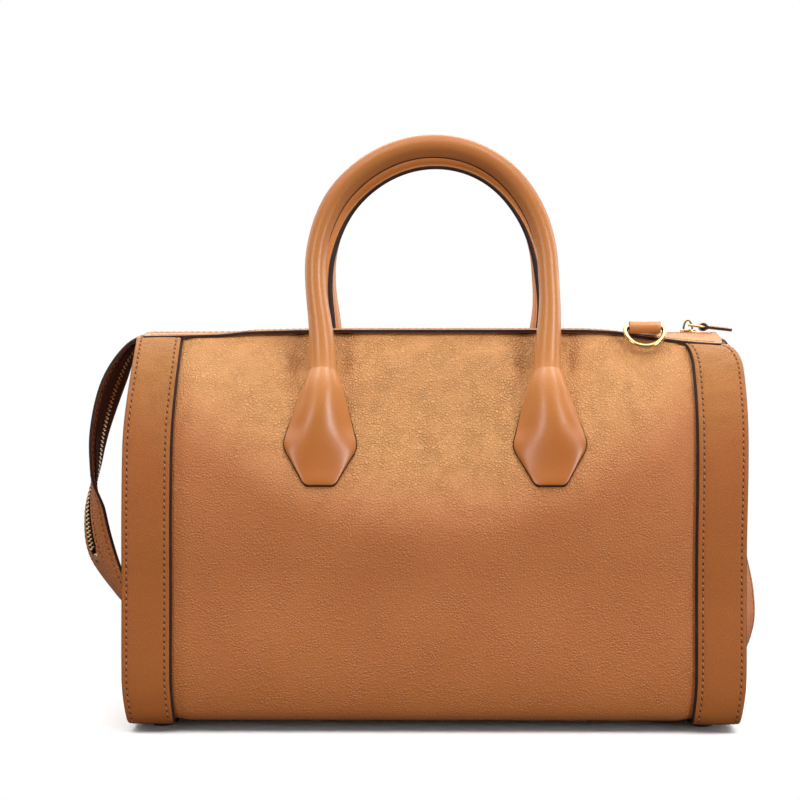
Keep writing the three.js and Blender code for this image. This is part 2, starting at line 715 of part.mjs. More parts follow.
const sliderHalf = SLIDER_LENGTH / 2;
const lipInside = TEETH_HALF_WIDTH + GAP;
const lipOutside = lipInside + SLIDER_LIP;
const plateFloor = TEETH_TOP + GAP;
const upperPlate = boxBetween([-sliderHalf, -lipOutside, plateFloor], [sliderHalf, lipOutside, SLIDER_TOP]);
const lips = [-1, 1].map((side) => {
  const edges = [side * lipInside, side * lipOutside].sort((a, b) => a - b);
  return boxBetween([-sliderHalf, edges[0], TAPE_TOP + GAP], [sliderHalf, edges[1], plateFloor + GAP]);
});
const arch = new THREE.Shape();
const archHalf = BRIDGE_LENGTH / 2;
arch.moveTo(-archHalf, -GAP);
arch.lineTo(archHalf, -GAP);
arch.lineTo(archHalf, BRIDGE_HEIGHT - BRIDGE_WALL);
arch.lineTo(archHalf - BRIDGE_WALL, BRIDGE_HEIGHT);
arch.lineTo(BRIDGE_WALL - archHalf, BRIDGE_HEIGHT);
arch.lineTo(-archHalf, BRIDGE_HEIGHT - BRIDGE_WALL);
const archWindow = new THREE.Path();
archWindow.moveTo(BRIDGE_WALL - archHalf, 0);
archWindow.lineTo(BRIDGE_WALL - archHalf, BRIDGE_HEIGHT - BRIDGE_WALL);
archWindow.lineTo(archHalf - BRIDGE_WALL, BRIDGE_HEIGHT - BRIDGE_WALL);
archWindow.lineTo(archHalf - BRIDGE_WALL, 0);
arch.holes.push(archWindow);
const bridge = new THREE.ExtrudeGeometry(arch, { depth: BRIDGE_WIDTH, bevelEnabled: false })
  .rotateX(Math.PI / 2)
  .translate(0, BRIDGE_WIDTH / 2, SLIDER_TOP);
addPiece(slider, "zip_slider", joined(upperPlate, ...lips, bridge), gold);

const lowerTop = TAPE_TOP - TAPE_WALL - GAP;
addPiece(
  slider,
  "slider_lower_plate",
  boxBetween([-sliderHalf, -lipOutside, lowerTop - SLIDER_LIP], [sliderHalf, lipOutside, lowerTop]),
  gold,
);

/** The outline of a rounded rectangle whose first long side lies on the X axis. */
function roundedLoop(halfWidth, length, corner) {
  const outline = new THREE.Path();
  outline.moveTo(corner - halfWidth, 0);
  outline.lineTo(halfWidth - corner, 0);
  outline.absarc(halfWidth - corner, corner, corner, -Math.PI / 2, 0, false);
  outline.lineTo(halfWidth, length - corner);
  outline.absarc(halfWidth - corner, length - corner, corner, 0, Math.PI / 2, false);
  outline.lineTo(corner - halfWidth, length);
  outline.absarc(corner - halfWidth, length - corner, corner, Math.PI / 2, Math.PI, false);
  outline.lineTo(-halfWidth, corner);
  outline.absarc(corner - halfWidth, corner, corner, Math.PI, 1.5 * Math.PI, false);
  return outline;
}

/** A leather loop round a bar along X, with a tongue that runs off towards +Y at the bar's height. */
function loopedTab(bore, wall, width, length) {
  const radius = bore + wall;
  const outline = new THREE.Shape();
  const join = Math.asin(wall / 2 / radius);
  outline.absarc(0, 0, radius, join, 2 * Math.PI - join, false);
  outline.lineTo(length, -wall / 2);
  outline.lineTo(length, wall / 2);
  const hole = new THREE.Path();
  hole.absarc(0, 0, bore, 0, 2 * Math.PI, true);
  outline.holes.push(hole);
  const made = new THREE.ExtrudeGeometry(outline, { depth: width, bevelEnabled: false, curveSegments: LOOP_SIDES });
  return made.rotateX(Math.PI / 2).rotateZ(Math.PI / 2).translate(-width / 2, 0, 0);
}

const pull = new THREE.Group();
pull.position.set(archHalf - BRIDGE_WALL - LINK_WIRE / 2 - GAP, 0, LINK_AXIS);
pull.rotation.y = PULL_DROOP;
slider.add(pull);
const pullTurn = new THREE.Group();
pullTurn.rotation.z = -Math.PI / 2;
pull.add(pullTurn);
const link = wireLoop(roundedLoop(LINK_HALF_WIDTH, LINK_LENGTH, LINK_WIRE), LINK_WIRE, LINK_STEPS);
addPiece(pullTurn, "pull_link", link, gold);
const pullWidth = 2 * (LINK_HALF_WIDTH - LINK_WIRE / 2 - GAP) - LINK_WIRE;
const pullTab = loopedTab(LINK_WIRE / 2 + GAP, PULL_WALL, pullWidth, PULL_LENGTH);
addPiece(pullTurn, "pull_tab", pullTab, smoothLeather).position.y = LINK_LENGTH;

// D-ring on its leather tab at the front edge of the right strip end

const ringMount = new THREE.Group();
ringMount.position.set(RING_PLACE, -RING_AXIS_DEPTH, RING_AXIS_HEIGHT);
zip.add(ringMount);
const ringTab = loopedTab(RING_TAB_BORE, RING_TAB_WALL, RING_TAB_WIDTH, RING_TAB_RADIUS + RING_TAB_LENGTH);
addPiece(ringMount, "d_ring_tab", ringTab, smoothLeather);

const ringHalf = (RING_WIDTH - RING_WIRE) / 2;
const ringOutline = new THREE.Path();
ringOutline.moveTo(RING_CORNER - ringHalf, 0);
ringOutline.lineTo(ringHalf - RING_CORNER, 0);
ringOutline.absarc(ringHalf - RING_CORNER, RING_CORNER, RING_CORNER, -Math.PI / 2, 0, false);
ringOutline.absellipse(0, RING_CORNER, ringHalf, RING_REACH - RING_CORNER, 0, Math.PI, false, 0);
ringOutline.absarc(RING_CORNER - ringHalf, RING_CORNER, RING_CORNER, Math.PI, 1.5 * Math.PI, false);
const ring = addPiece(ringMount, "d_ring", wireLoop(ringOutline, RING_WIRE, RING_STEPS), gold);
ring.rotation.x = Math.PI + RING_LEAN;

// Handle tabs and handles

const neckShare = wallShare((point) => point.y < TAB_NECK_HEIGHT);

/** Width of a handle tab at a distance below its neck. */
function tabWidth(down) {
  if (down < TAB_WIDEST_AT) {
    const share = down / TAB_WIDEST_AT;
    return TAB_NECK_WIDTH + (TAB_WIDTH - TAB_NECK_WIDTH) * share ** 0.9;
  }
  const share = (down - TAB_WIDEST_AT) / (TAB_LENGTH - TAB_WIDEST_AT);
  return TAB_WIDTH + (TAB_TOE_WIDTH - TAB_WIDTH) * share ** 1.2;
}

/** A padded tab on a wall: as thick as the handle at its neck, and flattening below. */
function handleTab(side, x) {
  // The tab bends where the wall below it bends.
  const bends = wallShares.map((share) => (share - neckShare) * WALL_GIRTH);
  const downs = [
    ...spaced(0, TAB_WIDEST_AT, TAB_STATIONS),
    ...spaced(TAB_WIDEST_AT, TAB_LENGTH, TAB_STATIONS - 1).slice(1),
    ...bends.filter((down) => down > GAP && down < TAB_LENGTH - GAP),
  ].sort((a, b) => a - b);
  const grid = (rise) =>
    downs.map((down) => {
      const share = neckShare + down / WALL_GIRTH;
      const swell = 1 - THREE.MathUtils.smoothstep(down, 0, TAB_WIDEST_AT);
      const crown = TAB_PADDING + (HANDLE_NECK_DIAMETER - TAB_PADDING) * swell;
      return spaced(-Math.PI / 2, Math.PI / 2, TAB_COLUMNS - 1).map((turn) => {
        const height = GAP + rise * (TAB_EDGE + (crown - TAB_EDGE) * Math.cos(turn));
        const at = wallAt(share, height);
        return new THREE.Vector3(x + (Math.sin(turn) * tabWidth(down)) / 2, side * at.x, at.y);
      });
    });
  return sheetSolid(grid(1), grid(0));
}

/** Centre line of a handle with its directions and radius, from the left tab over the arch to the right tab. */
function handleStations(side) {
  const seat = wallAt(neckShare, GAP + NECK_RADIUS);
  const out = seat.clone().sub(wallAt(neckShare, 0)).normalize();
  const along = new THREE.Vector2(out.y, -out.x);
  const foot = new THREE.Vector2(seat.x - along.x * GAP, seat.y - along.y * GAP);
  const arch = HANDLE_SPAN / 2;
  const archHeight = HANDLE_TOP - HANDLE_DIAMETER / 2 - arch;
  const upright = ((foot.x - HANDLE_HALF_DEPTH) * -along.y) / along.x;
  const depthAt = (z) => HANDLE_HALF_DEPTH + (foot.x - HANDLE_HALF_DEPTH) * Math.exp((foot.y - z) / upright);
  const leg = spaced(foot.y, archHeight, LEG_STATIONS)
    .slice(0, -1)
    .map((z) => {
      const share = THREE.MathUtils.smoothstep(z, foot.y, archHeight);
      return new THREE.Vector2(THREE.MathUtils.lerp(TAB_HALF_SPAN, arch, share), z);
    });
  const over = spaced(Math.PI, 0, ARCH_STATIONS).map(
    (turn) => new THREE.Vector2(arch * Math.cos(turn), archHeight + arch * Math.sin(turn)),
  );
  const outline = [
    ...leg.map((p) => new THREE.Vector2(-p.x, p.y)),
    ...over,
    ...[...leg].reverse(),
  ];
  const centres = outline.map((p) => new THREE.Vector3(p.x, side * depthAt(p.y), p.y));
  const rise = new THREE.Vector3(0, -side * along.x, -along.y);
  return centres.map((centre, i) => {
    const before = centres[Math.max(i - 1, 0)];
    const after = centres[Math.min(i + 1, centres.length - 1)];
    let forward = after.clone().sub(before).normalize();
    if (i === 0) forward = rise.clone();
    if (i === centres.length - 1) forward = rise.clone().negate();
    const face = new THREE.Vector3(0, side, 0);
    face.addScaledVector(forward, -face.dot(forward)).normalize();
    const swell = 1 - THREE.MathUtils.smoothstep(centre.z, foot.y, foot.y + HANDLE_FLARE);
    const radius = (HANDLE_DIAMETER + (HANDLE_NECK_DIAMETER - HANDLE_DIAMETER) * swell) / 2;
    return { centre, face, across: new THREE.Vector3().crossVectors(forward, face), radius };
  });
}

const handles = new THREE.Group();
bag.add(handles);
for (const [name, side] of [["front", FRONT], ["back", BACK]]) {
  const stations = handleStations(side);
  const rings = (inset, sides) =>
    stations.map((s) => ringOf(s.centre, s.face, s.across, s.radius - inset, sides));
  const cover = sheetSolid(rings(0, HANDLE_SIDES), rings(HANDLE_LEATHER, HANDLE_SIDES), { wrap: true });
  addPiece(handles, `${name}_handle_cover`, cover, smoothLeather);
  const slack = 1 / Math.cos(Math.PI / HANDLE_SIDES);
  const core = stations.map((s) =>
    ringOf(s.centre, s.face, s.across, (s.radius - HANDLE_LEATHER) / slack - GAP, CORE_SIDES),
  );
  addPiece(handles, `${name}_handle_core`, rodSolid(core), rope);
  for (const [end, x] of [["left", -TAB_HALF_SPAN], ["right", TAB_HALF_SPAN]]) {
    addPiece(handles, `${name}_${end}_handle_tab`, handleTab(side, x), smoothLeather);
  }
}

// The origin lies on the floor below the middle of the whole outline, tails included.
const outline = new THREE.Box3().setFromObject(bag);
bag.position.x = -(outline.min.x + outline.max.x) / 2;

const part = new THREE.Group();
part.add(bag);

export default part;
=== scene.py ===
"""The looks of a tan leather bowling bag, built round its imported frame.

Sizes are in millimetres: X from the bag's middle plane, the front towards -Y, the feet on Z = 0.
Skin turns a piece's points to metres in the frame's own place when it makes the mesh.
"""

import logging
import math
from dataclasses import dataclass
from enum import Enum
from functools import cached_property

import bpy
import numpy as np
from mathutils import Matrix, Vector


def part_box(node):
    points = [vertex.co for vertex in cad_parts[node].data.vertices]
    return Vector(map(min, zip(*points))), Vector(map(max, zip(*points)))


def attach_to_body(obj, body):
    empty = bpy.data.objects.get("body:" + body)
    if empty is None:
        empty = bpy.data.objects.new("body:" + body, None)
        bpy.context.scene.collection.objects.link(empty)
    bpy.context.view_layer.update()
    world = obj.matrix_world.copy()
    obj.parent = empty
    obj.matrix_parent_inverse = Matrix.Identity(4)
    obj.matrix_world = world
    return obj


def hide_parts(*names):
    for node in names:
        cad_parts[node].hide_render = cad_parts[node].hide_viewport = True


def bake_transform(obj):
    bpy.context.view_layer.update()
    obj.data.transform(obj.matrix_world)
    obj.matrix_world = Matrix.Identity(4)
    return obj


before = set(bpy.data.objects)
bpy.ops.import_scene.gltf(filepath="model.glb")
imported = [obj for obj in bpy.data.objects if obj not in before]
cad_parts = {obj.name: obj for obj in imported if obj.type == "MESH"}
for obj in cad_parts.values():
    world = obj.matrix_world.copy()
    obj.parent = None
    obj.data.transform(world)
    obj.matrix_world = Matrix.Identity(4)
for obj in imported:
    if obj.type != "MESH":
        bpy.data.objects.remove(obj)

Array = np.ndarray
Pair = tuple[float, float]
Triple = tuple[float, float, float]
Colour = Triple
Material = bpy.types.Material
Piece = bpy.types.Object
Socket = bpy.types.NodeSocket

MM = 0.001
UP = np.array([0, 0, 1.0])
WHITE = (1, 1, 1, 1)
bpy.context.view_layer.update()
MID_X = (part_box("base_panel")[0].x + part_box("base_panel")[1].x) / 2 / MM

log = logging.getLogger("bowling_bag")


class Named(Enum):
    """A choice whose word goes into the names of pieces."""

    @property
    def word(self) -> str:
        """The choice in small letters."""
        return self.name.lower()


class Side(Named):
    """The two long sides, by the sign of Y."""

    FRONT = -1
    BACK = 1


class End(Named):
    """The two ends, by the sign of X."""

    LEFT = -1
    RIGHT = 1


class Body(Enum):
    """What a piece can ride on."""

    BAG = "bag"
    FRONT_FLAP = "front_flap"
    BACK_FLAP = "back_flap"
    FRONT_HANDLE = "front_handle"
    BACK_HANDLE = "back_handle"
    SLIDER = "slider"
    PULL = "pull"
    RING = "ring"


class Slot(Enum):
    """Names of the finishes."""

    GRAIN = "grain_leather"
    SMOOTH = "smooth_leather"
    LINING = "lining_cloth"
    BOARD = "shaper_board"
    ROPE = "handle_rope"
    TAPE = "zip_tape"
    GOLD = "gold_metal"
    FOOT = "foot_lacquer"


@dataclass(frozen=True)
class Bend:
    """Where soft material passes from the bag, before start, to a moving body, after end, in millimetres."""

    moving: Body
    start: Triple
    end: Triple


Hold = Body | Bend


def ease(value: Array | float, low: float, high: float) -> Array:
    """Smooth rise from 0 at low to 1 at high."""
    share = np.clip((np.asarray(value, float) - low) / (high - low), 0, 1)
    return share * share * (3 - 2 * share)


def unit(vectors: Array) -> Array:
    """Vectors of length 1 along the last axis."""
    return vectors / np.maximum(np.linalg.norm(vectors, axis=-1, keepdims=True), 1e-12)


def gather(*axes: Array | float) -> Array:
    """Coordinates that fit together, side by side on a new last axis."""
    return np.stack(np.broadcast_arrays(*axes), axis=-1)


def full_turn(steps: int) -> Array:
    """Evenly spaced angles round a circle."""
    return np.linspace(0, 2 * math.pi, steps, endpoint=False)


def run_lengths(points: Array) -> Array:
    """Distance of each point along its line."""
    steps = np.linalg.norm(np.diff(points, axis=0), axis=1)
    return np.concatenate([[0], np.cumsum(steps)])


def bezier(corners: Array, steps: int) -> Array:
    """Points of a cubic curve with four corner points."""
    t = np.linspace(0, 1, steps)[:, None]
    a, b, c, d = corners
    return (1 - t) ** 3 * a + 3 * (1 - t) ** 2 * t * b + 3 * (1 - t) * t * t * c + t**3 * d


def in_frame(point: Triple) -> Vector:
    """A point of the bag, in metres in the frame."""
    return Vector((point[0] + MID_X, point[1], point[2])) * MM


def node_box(node: str) -> tuple[Array, Array]:
    """A CAD node's corners, in millimetres from the bag's middle plane."""
    low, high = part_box(node)
    shift = np.array([MID_X, 0, 0])
    return np.array(low) / MM - shift, np.array(high) / MM - shift


def add_object(name: str, data: bpy.types.ID) -> Piece:
    """A new object in the scene."""
    thing = bpy.data.objects.new(name, data)
    bpy.context.scene.collection.objects.link(thing)
    return thing


def attach(piece: Piece, slot: Slot, hold: Hold, *nodes: str) -> Piece:
    """Parents a piece to its body, or for a bend bakes its place into the mesh, and hides the CAD nodes it
    replaces.

    Args:
        piece: The finished object.
        slot: Not used.
        hold: Body to ride on, or the bend between the bag and a moving body.
        nodes: CAD nodes that it replaces.

    Returns:
        The same object.
    """
    if isinstance(hold, Bend):
        in_frame(hold.start)
        in_frame(hold.end)
        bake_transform(piece)
    else:
        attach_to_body(piece, hold.value)
    if nodes:
        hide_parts(*nodes)
    log.info("%s on %s: %d faces", piece.name, hold, len(piece.data.polygons))
    return piece


class Skin:
    """Points and faces of one piece while it is made."""

    def __init__(self) -> None:
        """Starts with no points."""
        self.points: list[Array] = []
        self.flat: list[Array] = []
        self.faces: list[tuple[int, ...]] = []
        self.parts: list[int] = []
        self.count = 0

    def put(self, points: Array, flat: Array | None = None) -> int:
        """Adds points and their places on the flat material.

        Args:
            points: Array whose last axis is X, Y and Z.
            flat: Matching array of two lengths, for woven patterns.

        Returns:
            Index of the first new point.
        """
        loose = points.reshape(-1, 3)
        first = self.count
        self.points.append(loose)
        self.flat.append(np.zeros((len(loose), 2)) if flat is None else flat.reshape(-1, 2))
        self.count += len(loose)
        return first

    def close(self, shell: list[tuple[int, ...]], parts: list[int]) -> None:
        """Keeps a closed shell's faces, turned outward.

        Args:
            shell: Corner indices of each face, all turned the same way.
            parts: Finish of each face.
        """
        points = np.vstack(self.points)
        fans = [(f[0], f[k], f[k + 1]) for f in shell for k in range(1, len(f) - 1)]
        a, b, c = (points[np.array(fans)[:, k]] for k in range(3))
        turned = np.einsum("ij,ij->i", a, np.cross(b, c)).sum() < 0
        self.faces += [f[::-1] for f in shell] if turned else shell
        self.parts += parts

    def sheet(
        self,
        outer: Array,
        inner: Array,
        wrap: bool = False,
        present: Array | None = None,
        painted: Array | None = None,
        parts: tuple[int, int, int] = (0, 0, 1),
        row_ends: int | None = None,
        flat: Array | None = None,
    ) -> "Skin":
        """Adds a sheet between two matching grids, closed along every edge.

        Args:
            outer: Grid of the face, rows by columns by 3.
            inner: Grid of the back.
            wrap: Whether the last column joins the first.
            present: Which cells hold material.
            painted: Which cells of the face are painted like the rim.
            parts: Finish of the face, the back and the rim.
            row_ends: Finish of the rim at the first and last row, where it differs.
            flat: Places on the flat material.

        Returns:
            The same skin.
        """
        rows, columns = outer.shape[:2]
        cells = columns if wrap else columns - 1
        top = self.put(outer, flat)
        low = self.put(inner, flat)
        filled = np.ones((rows - 1, cells), bool) if present is None else present
        face, back, rim = parts
        tip = rim if row_ends is None else row_ends
        shell: list[tuple[int, ...]] = []
        kinds: list[int] = []

        def there(i: int, j: int) -> bool:
            """Whether a cell holds material."""
            inside = 0 <= i < rows - 1 and (wrap or 0 <= j < cells)
            return bool(inside and filled[i, j % cells])

        for i, j in np.argwhere(filled):
            k = (j + 1) % columns
            a, b, c, d = (top + r * columns + s for r, s in ((i, j), (i, k), (i + 1, k), (i + 1, j)))
            e, f, g, h = (q - top + low for q in (a, b, c, d))
            shell += [(a, b, c, d), (h, g, f, e)]
            kinds += [rim if painted is not None and painted[i, j] else face, back]
            sides = (
                (there(i - 1, j), (b, a, e, f), tip),
                (there(i + 1, j), (d, c, g, h), tip),
                (there(i, j - 1), (a, d, h, e), rim),
                (there(i, j + 1), (c, b, f, g), rim),
            )
            for joined, corners, kind in sides:
                if not joined:
                    shell.append(corners)
                    kinds.append(kind)
        self.close(shell, kinds)
        return self

    def rod(
        self,
        rings: Array,
        closed: bool = False,
        painted: Array | None = None,
        parts: tuple[int, int] = (0, 0),
        flat: Array | None = None,
    ) -> "Skin":
        """Adds a solid through rings of points, capped or closed on itself.

        Args:
            rings: Stations by points round each ring by 3.
            closed: Whether the last ring joins the first.
            painted: Which faces round a ring take finish 1.
            parts: Finish of the sides and of the caps.
            flat: Places on the flat material.

        Returns:
            The same skin.
        """
        stations, sides = rings.shape[:2]
        first = self.put(rings, flat)
        shell: list[tuple[int, ...]] = []
        kinds: list[int] = []
        for i in range(stations if closed else stations - 1):
            for j in range(sides):
                n, k = (i + 1) % stations, (j + 1) % sides
                shell.append(tuple(first + r * sides + s for r, s in ((i, j), (i, k), (n, k), (n, j))))
                kinds.append(1 if painted is not None and painted[j] else parts[0])
        if not closed:
            shell.append(tuple(first + j for j in reversed(range(sides))))
            shell.append(tuple(first + (stations - 1) * sides + j for j in range(sides)))
            kinds += [parts[1], parts[1]]
        self.close(shell, kinds)
        return self

    def make(self, name: str, *finishes: Material, crease: float = 50) -> Piece:
        """Makes the mesh object.

        Args:
            name: The piece's name.
            finishes: Materials in the order of the parts.
            crease: Angle in degrees above which an edge stays sharp.

        Returns:
            The object, at the origin.
        """
        points = np.vstack(self.points)
        flat = np.vstack(self.flat)
        used = np.unique([corner for face in self.faces for corner in face])
        order = np.zeros(len(points), int)
        order[used] = np.arange(len(used))
        places = (points[used] + np.array([MID_X, 0, 0])) * MM
        mesh = bpy.data.meshes.new(name)
        mesh.from_pydata(places.tolist(), [], [[int(order[c]) for c in face] for face in self.faces])
        for finish in finishes:
            mesh.materials.append(finish)
        mesh.polygons.foreach_set("material_index", self.parts)
        mesh.polygons.foreach_set("use_smooth", [True] * len(self.faces))
        corners = np.zeros(len(mesh.loops), np.int32)
        mesh.loops.foreach_get("vertex_index", corners)
        layer = mesh.uv_layers.new(name="Flat")
        layer.data.foreach_set("uv", (flat[used][corners] * MM).astype(np.float32).ravel())
        mesh.set_sharp_from_angle(angle=math.radians(crease))
        mesh.update()
        return add_object(name, mesh)


class Field:
    """A shader value that takes part in Python sums."""

    def __init__(self, paint: "Paint", socket: Socket) -> None:
        """Wraps one output socket."""
        self.paint = paint
        self.socket = socket

    def _math(self, operation: str, *terms: "Field | float") -> "Field":
        """The result of a Math node."""
        node = self.paint.node("ShaderNodeMath", {"operation": operation}, dict(enumerate(terms)))
        return Field(self.paint, node.outputs[0])

    def __add__(self, other: "Field | float") -> "Field":
        """Sum."""
        return self._math("ADD", self, other)

    __radd__ = __add__

    def __sub__(self, other: "Field | float") -> "Field":
        """Difference."""
        return self._math("SUBTRACT", self, other)

    def __rsub__(self, other: float) -> "Field":
        """Difference from a number."""
        return self._math("SUBTRACT", other, self)

    def __mul__(self, other: "Field | float") -> "Field":
        """Product."""
        return self._math("MULTIPLY", self, other)

    __rmul__ = __mul__

    def wave(self) -> "Field":
        """Sine."""
        return self._math("SINE", self)

    def size(self) -> "Field":
        """Distance from zero."""
        return self._math("ABSOLUTE", self)

    def rise(self, low: float, high: float) -> "Field":
        """Smooth rise from 0 at low to 1 at high."""
        inputs = {"Value": self, "From Min": low, "From Max": high}
        node = self.paint.node("ShaderNodeMapRange", {"interpolation_type": "SMOOTHSTEP"}, inputs)
        return Field(self.paint, node.outputs[0])


def add_node(
    tree: bpy.types.NodeTree, kind: str, settings: dict | None = None, inputs: dict | None = None
) -> bpy.types.Node:
    """Adds a node to a tree.

    Args:
        tree: Where it goes.
        kind: The node's type.
        settings: Its properties, which are set first.
        inputs: Values or links by the socket's name or number.

    Returns:
        The node.
    """
    node = tree.nodes.new(kind)
    for name, value in (settings or {}).items():
        setattr(node, name, value)
    for key, value in (inputs or {}).items():
        value = value.socket if isinstance(value, Field) else value
        if isinstance(value, Socket):
            tree.links.new(value, node.inputs[key])
        else:
            node.inputs[key].default_value = value
    return node


class Paint:
    """The nodes of one material."""

    def __init__(self, name: str) -> None:
        """Starts an empty material."""
        self.material = bpy.data.materials.new(name)
        self.material.use_nodes = True
        self.tree = self.material.node_tree
        self.tree.nodes.clear()

    def node(self, kind: str, settings: dict | None = None, inputs: dict | None = None) -> bpy.types.Node:
        """Adds a node to the material."""
        return add_node(self.tree, kind, settings, inputs)

    def place(self, turn: Triple = (0, 0, 0), stretch: Triple = (1, 1, 1)) -> Socket:
        """The piece's own coordinates in metres, turned and stretched."""
        source = self.node("ShaderNodeTexCoord").outputs["Object"]
        inputs = {"Vector": source, "Rotation": turn, "Scale": stretch}
        return self.node("ShaderNodeMapping", None, inputs).outputs[0]

    def spot(self) -> list[Field]:
        """The piece's own X, Y and Z in metres."""
        split = self.node("ShaderNodeSeparateXYZ", None, {0: self.place()})
        return [Field(self, output) for output in split.outputs]

    def ray(self, kind: str) -> Field:
        """1 where a ray of one kind meets the surface, and else 0."""
        return Field(self, self.node("ShaderNodeLightPath").outputs[kind])

    def flat(self, axis: int) -> Field:
        """A length across (0) or along (1) the flat material, in metres."""
        source = self.node("ShaderNodeUVMap", {"uv_map": "Flat"}).outputs[0]
        return Field(self, self.node("ShaderNodeSeparateXYZ", None, {0: source}).outputs[axis])

    def noise(self, place: Socket, grain: float, detail: float = 2, rough: float = 0.5) -> Field:
        """Soft noise whose patches are about grain millimetres wide."""
        inputs = {"Vector": place, "Scale": 1 / (grain * MM), "Detail": detail, "Roughness": rough}
        return Field(self, self.node("ShaderNodeTexNoise", None, inputs).outputs[0])

    def cells(self, place: Socket, grain: float) -> Field:
        """Distance from the nearest crease between pebbles about grain millimetres wide."""
        inputs = {"Vector": place, "Scale": 1 / (grain * MM)}
        node = self.node("ShaderNodeTexVoronoi", {"feature": "DISTANCE_TO_EDGE"}, inputs)
        return Field(self, node.outputs["Distance"])

    def stir(self, place: Socket, grain: float, reach: float) -> Socket:
        """Coordinates moved about by soft noise, by up to reach millimetres."""
        inputs = {"Vector": place, "Scale": 1 / (grain * MM), "Detail": 2.0}
        drift = self.node("ShaderNodeTexNoise", None, inputs).outputs[1]
        shift = (reach * MM,) * 3
        scaled = self.node("ShaderNodeVectorMath", {"operation": "MULTIPLY"}, {0: drift, 1: shift}).outputs[0]
        return self.node("ShaderNodeVectorMath", {"operation": "ADD"}, {0: place, 1: scaled}).outputs[0]

    def blend(self, share: Field, none: Colour | Socket, full: Colour) -> Socket:
        """A colour between two, by share."""
        start = (*none, 1) if isinstance(none, tuple) else none
        inputs = {0: share, 6: start, 7: (*full, 1)}
        return self.node("ShaderNodeMix", {"data_type": "RGBA", "clamp_factor": True}, inputs).outputs[2]

    def relief(self, height: Field, depth: float, strength: float = 1) -> Socket:
        """A bumped normal for a height from 0 to 1, depth millimetres deep."""
        inputs = {"Height": height, "Distance": depth * MM, "Strength": strength}
        return self.node("ShaderNodeBump", None, inputs).outputs[0]

    def shade(self, **sockets: object) -> Material:
        """Ends the material in a Principled shader.

        Args:
            sockets: Values or links by socket name, with _ for a space.

        Returns:
            The material.
        """
        inputs = {name.replace("_", " "): value for name, value in sockets.items()}
        return self.surface(self.node("ShaderNodeBsdfPrincipled", None, inputs).outputs[0])

    def matte(self, grey: float) -> Socket:
        """A dull grey surface."""
        return self.node("ShaderNodeBsdfDiffuse", None, {"Color": (grey, grey, grey, 1)}).outputs[0]

    def glow(self) -> Socket:
        """A surface that shows as white."""
        return self.node("ShaderNodeEmission", None, {"Color": WHITE, "Strength": 1.0}).outputs[0]

    def mix(self, share: Field, none: Socket, full: Socket) -> Socket:
        """A surface between two, by share."""
        return self.node("ShaderNodeMixShader", None, {0: share, 1: none, 2: full}).outputs[0]

    def surface(self, shader: Socket) -> Material:
        """Ends the material in a shader."""
        self.node("ShaderNodeOutputMaterial", None, {"Surface": shader})
        return self.material


@dataclass(frozen=True)
class Leather:
    """Tanned leather, from strongly pebbled to nearly smooth.

    Pebble and fine are the widths of its grain and pores in millimetres, and relief their depth. Above a line
    at the first of its painted-light heights in metres above the ground, rising to both ends, its colour
    turns
    paler and yellower: painted light where the lamps fall on its upper part. Higher still, over the handles'
    tops, its colour is darkened: painted shade.
    """

    name: str
    tone: Colour
    deep: Colour
    pale: Colour
    # painted light: the paler, yellower colour of the upper parts, where the lamps fall
    painted_light_tone: Colour
    pebble: float
    fine: float
    relief: float
    roughness: float
    turn: Triple = (0, 0, 0)
    stretch: Triple = (1, 1, 1)
    gloss: float = 0.5
    glaze: float = 0.0
    # the painted light's line: heights in metres over which it comes in, its rise to both ends and its wobble
    painted_light_from: float = 0.105
    painted_light_to: float = 0.162
    painted_light_bow: float = 2.9
    painted_light_drift: float = 0.02
    coat_roughness: float = 0.34
    coat_ior: float = 1.6
    # painted shade: the darker colour over the handles' tops, between the next two heights in metres
    rubbed: Colour = (0.46, 0.165, 0.042)
    rubbed_from: float = 0.25
    rubbed_to: float = 0.32

    def material(self) -> Material:
        """The leather's material."""
        paint = Paint(self.name)
        place = paint.place(self.turn, self.stretch)
        stirred = paint.stir(place, self.pebble * 2.2, self.pebble * 0.55)
        broad = paint.noise(place, 42, 3)
        patch = paint.noise(place, 11, 2)
        pebble = paint.cells(stirred, self.pebble).rise(0.0, 0.32)
        pores = paint.noise(stirred, self.fine, 3, 0.6)
        worn = patch.rise(0.3, 0.75)
        x, _, level = paint.spot()
        beside = x - MID_X * MM
        line = level - beside * beside * self.painted_light_bow + (broad - 0.5) * self.painted_light_drift
        # painted light: share of the lit colour, from none below the line to all above it
        painted_light = line.rise(self.painted_light_from, self.painted_light_to)
        height = (pebble * (0.45 + 0.4 * worn) + pores * 0.5) * (0.35 + painted_light * 0.65)
        shade = paint.blend(broad.rise(0.3, 0.7), self.tone, self.pale)
        shade = paint.blend(painted_light, shade, self.painted_light_tone)
        # painted shade: the handles' tops are darkened, and their glaze is worn thin there
        top_shade_and_wear = level.rise(self.rubbed_from, self.rubbed_to)
        shade = paint.blend(top_shade_and_wear, shade, self.rubbed)
        shade = paint.blend((1 - pebble) * 0.2 + (0.5 - pores) * 0.25, shade, self.deep)
        rough = self.roughness + (1 - pebble) * 0.08 + (broad - 0.5) * 0.08
        return paint.shade(
            Base_Color=shade,
            Roughness=rough,
            Specular_IOR_Level=self.gloss,
            Coat_Weight=(1 - top_shade_and_wear * 0.9) * self.glaze,
            Coat_Roughness=self.coat_roughness,
            Coat_IOR=self.coat_ior,
            Normal=paint.relief(height, self.relief),
        )


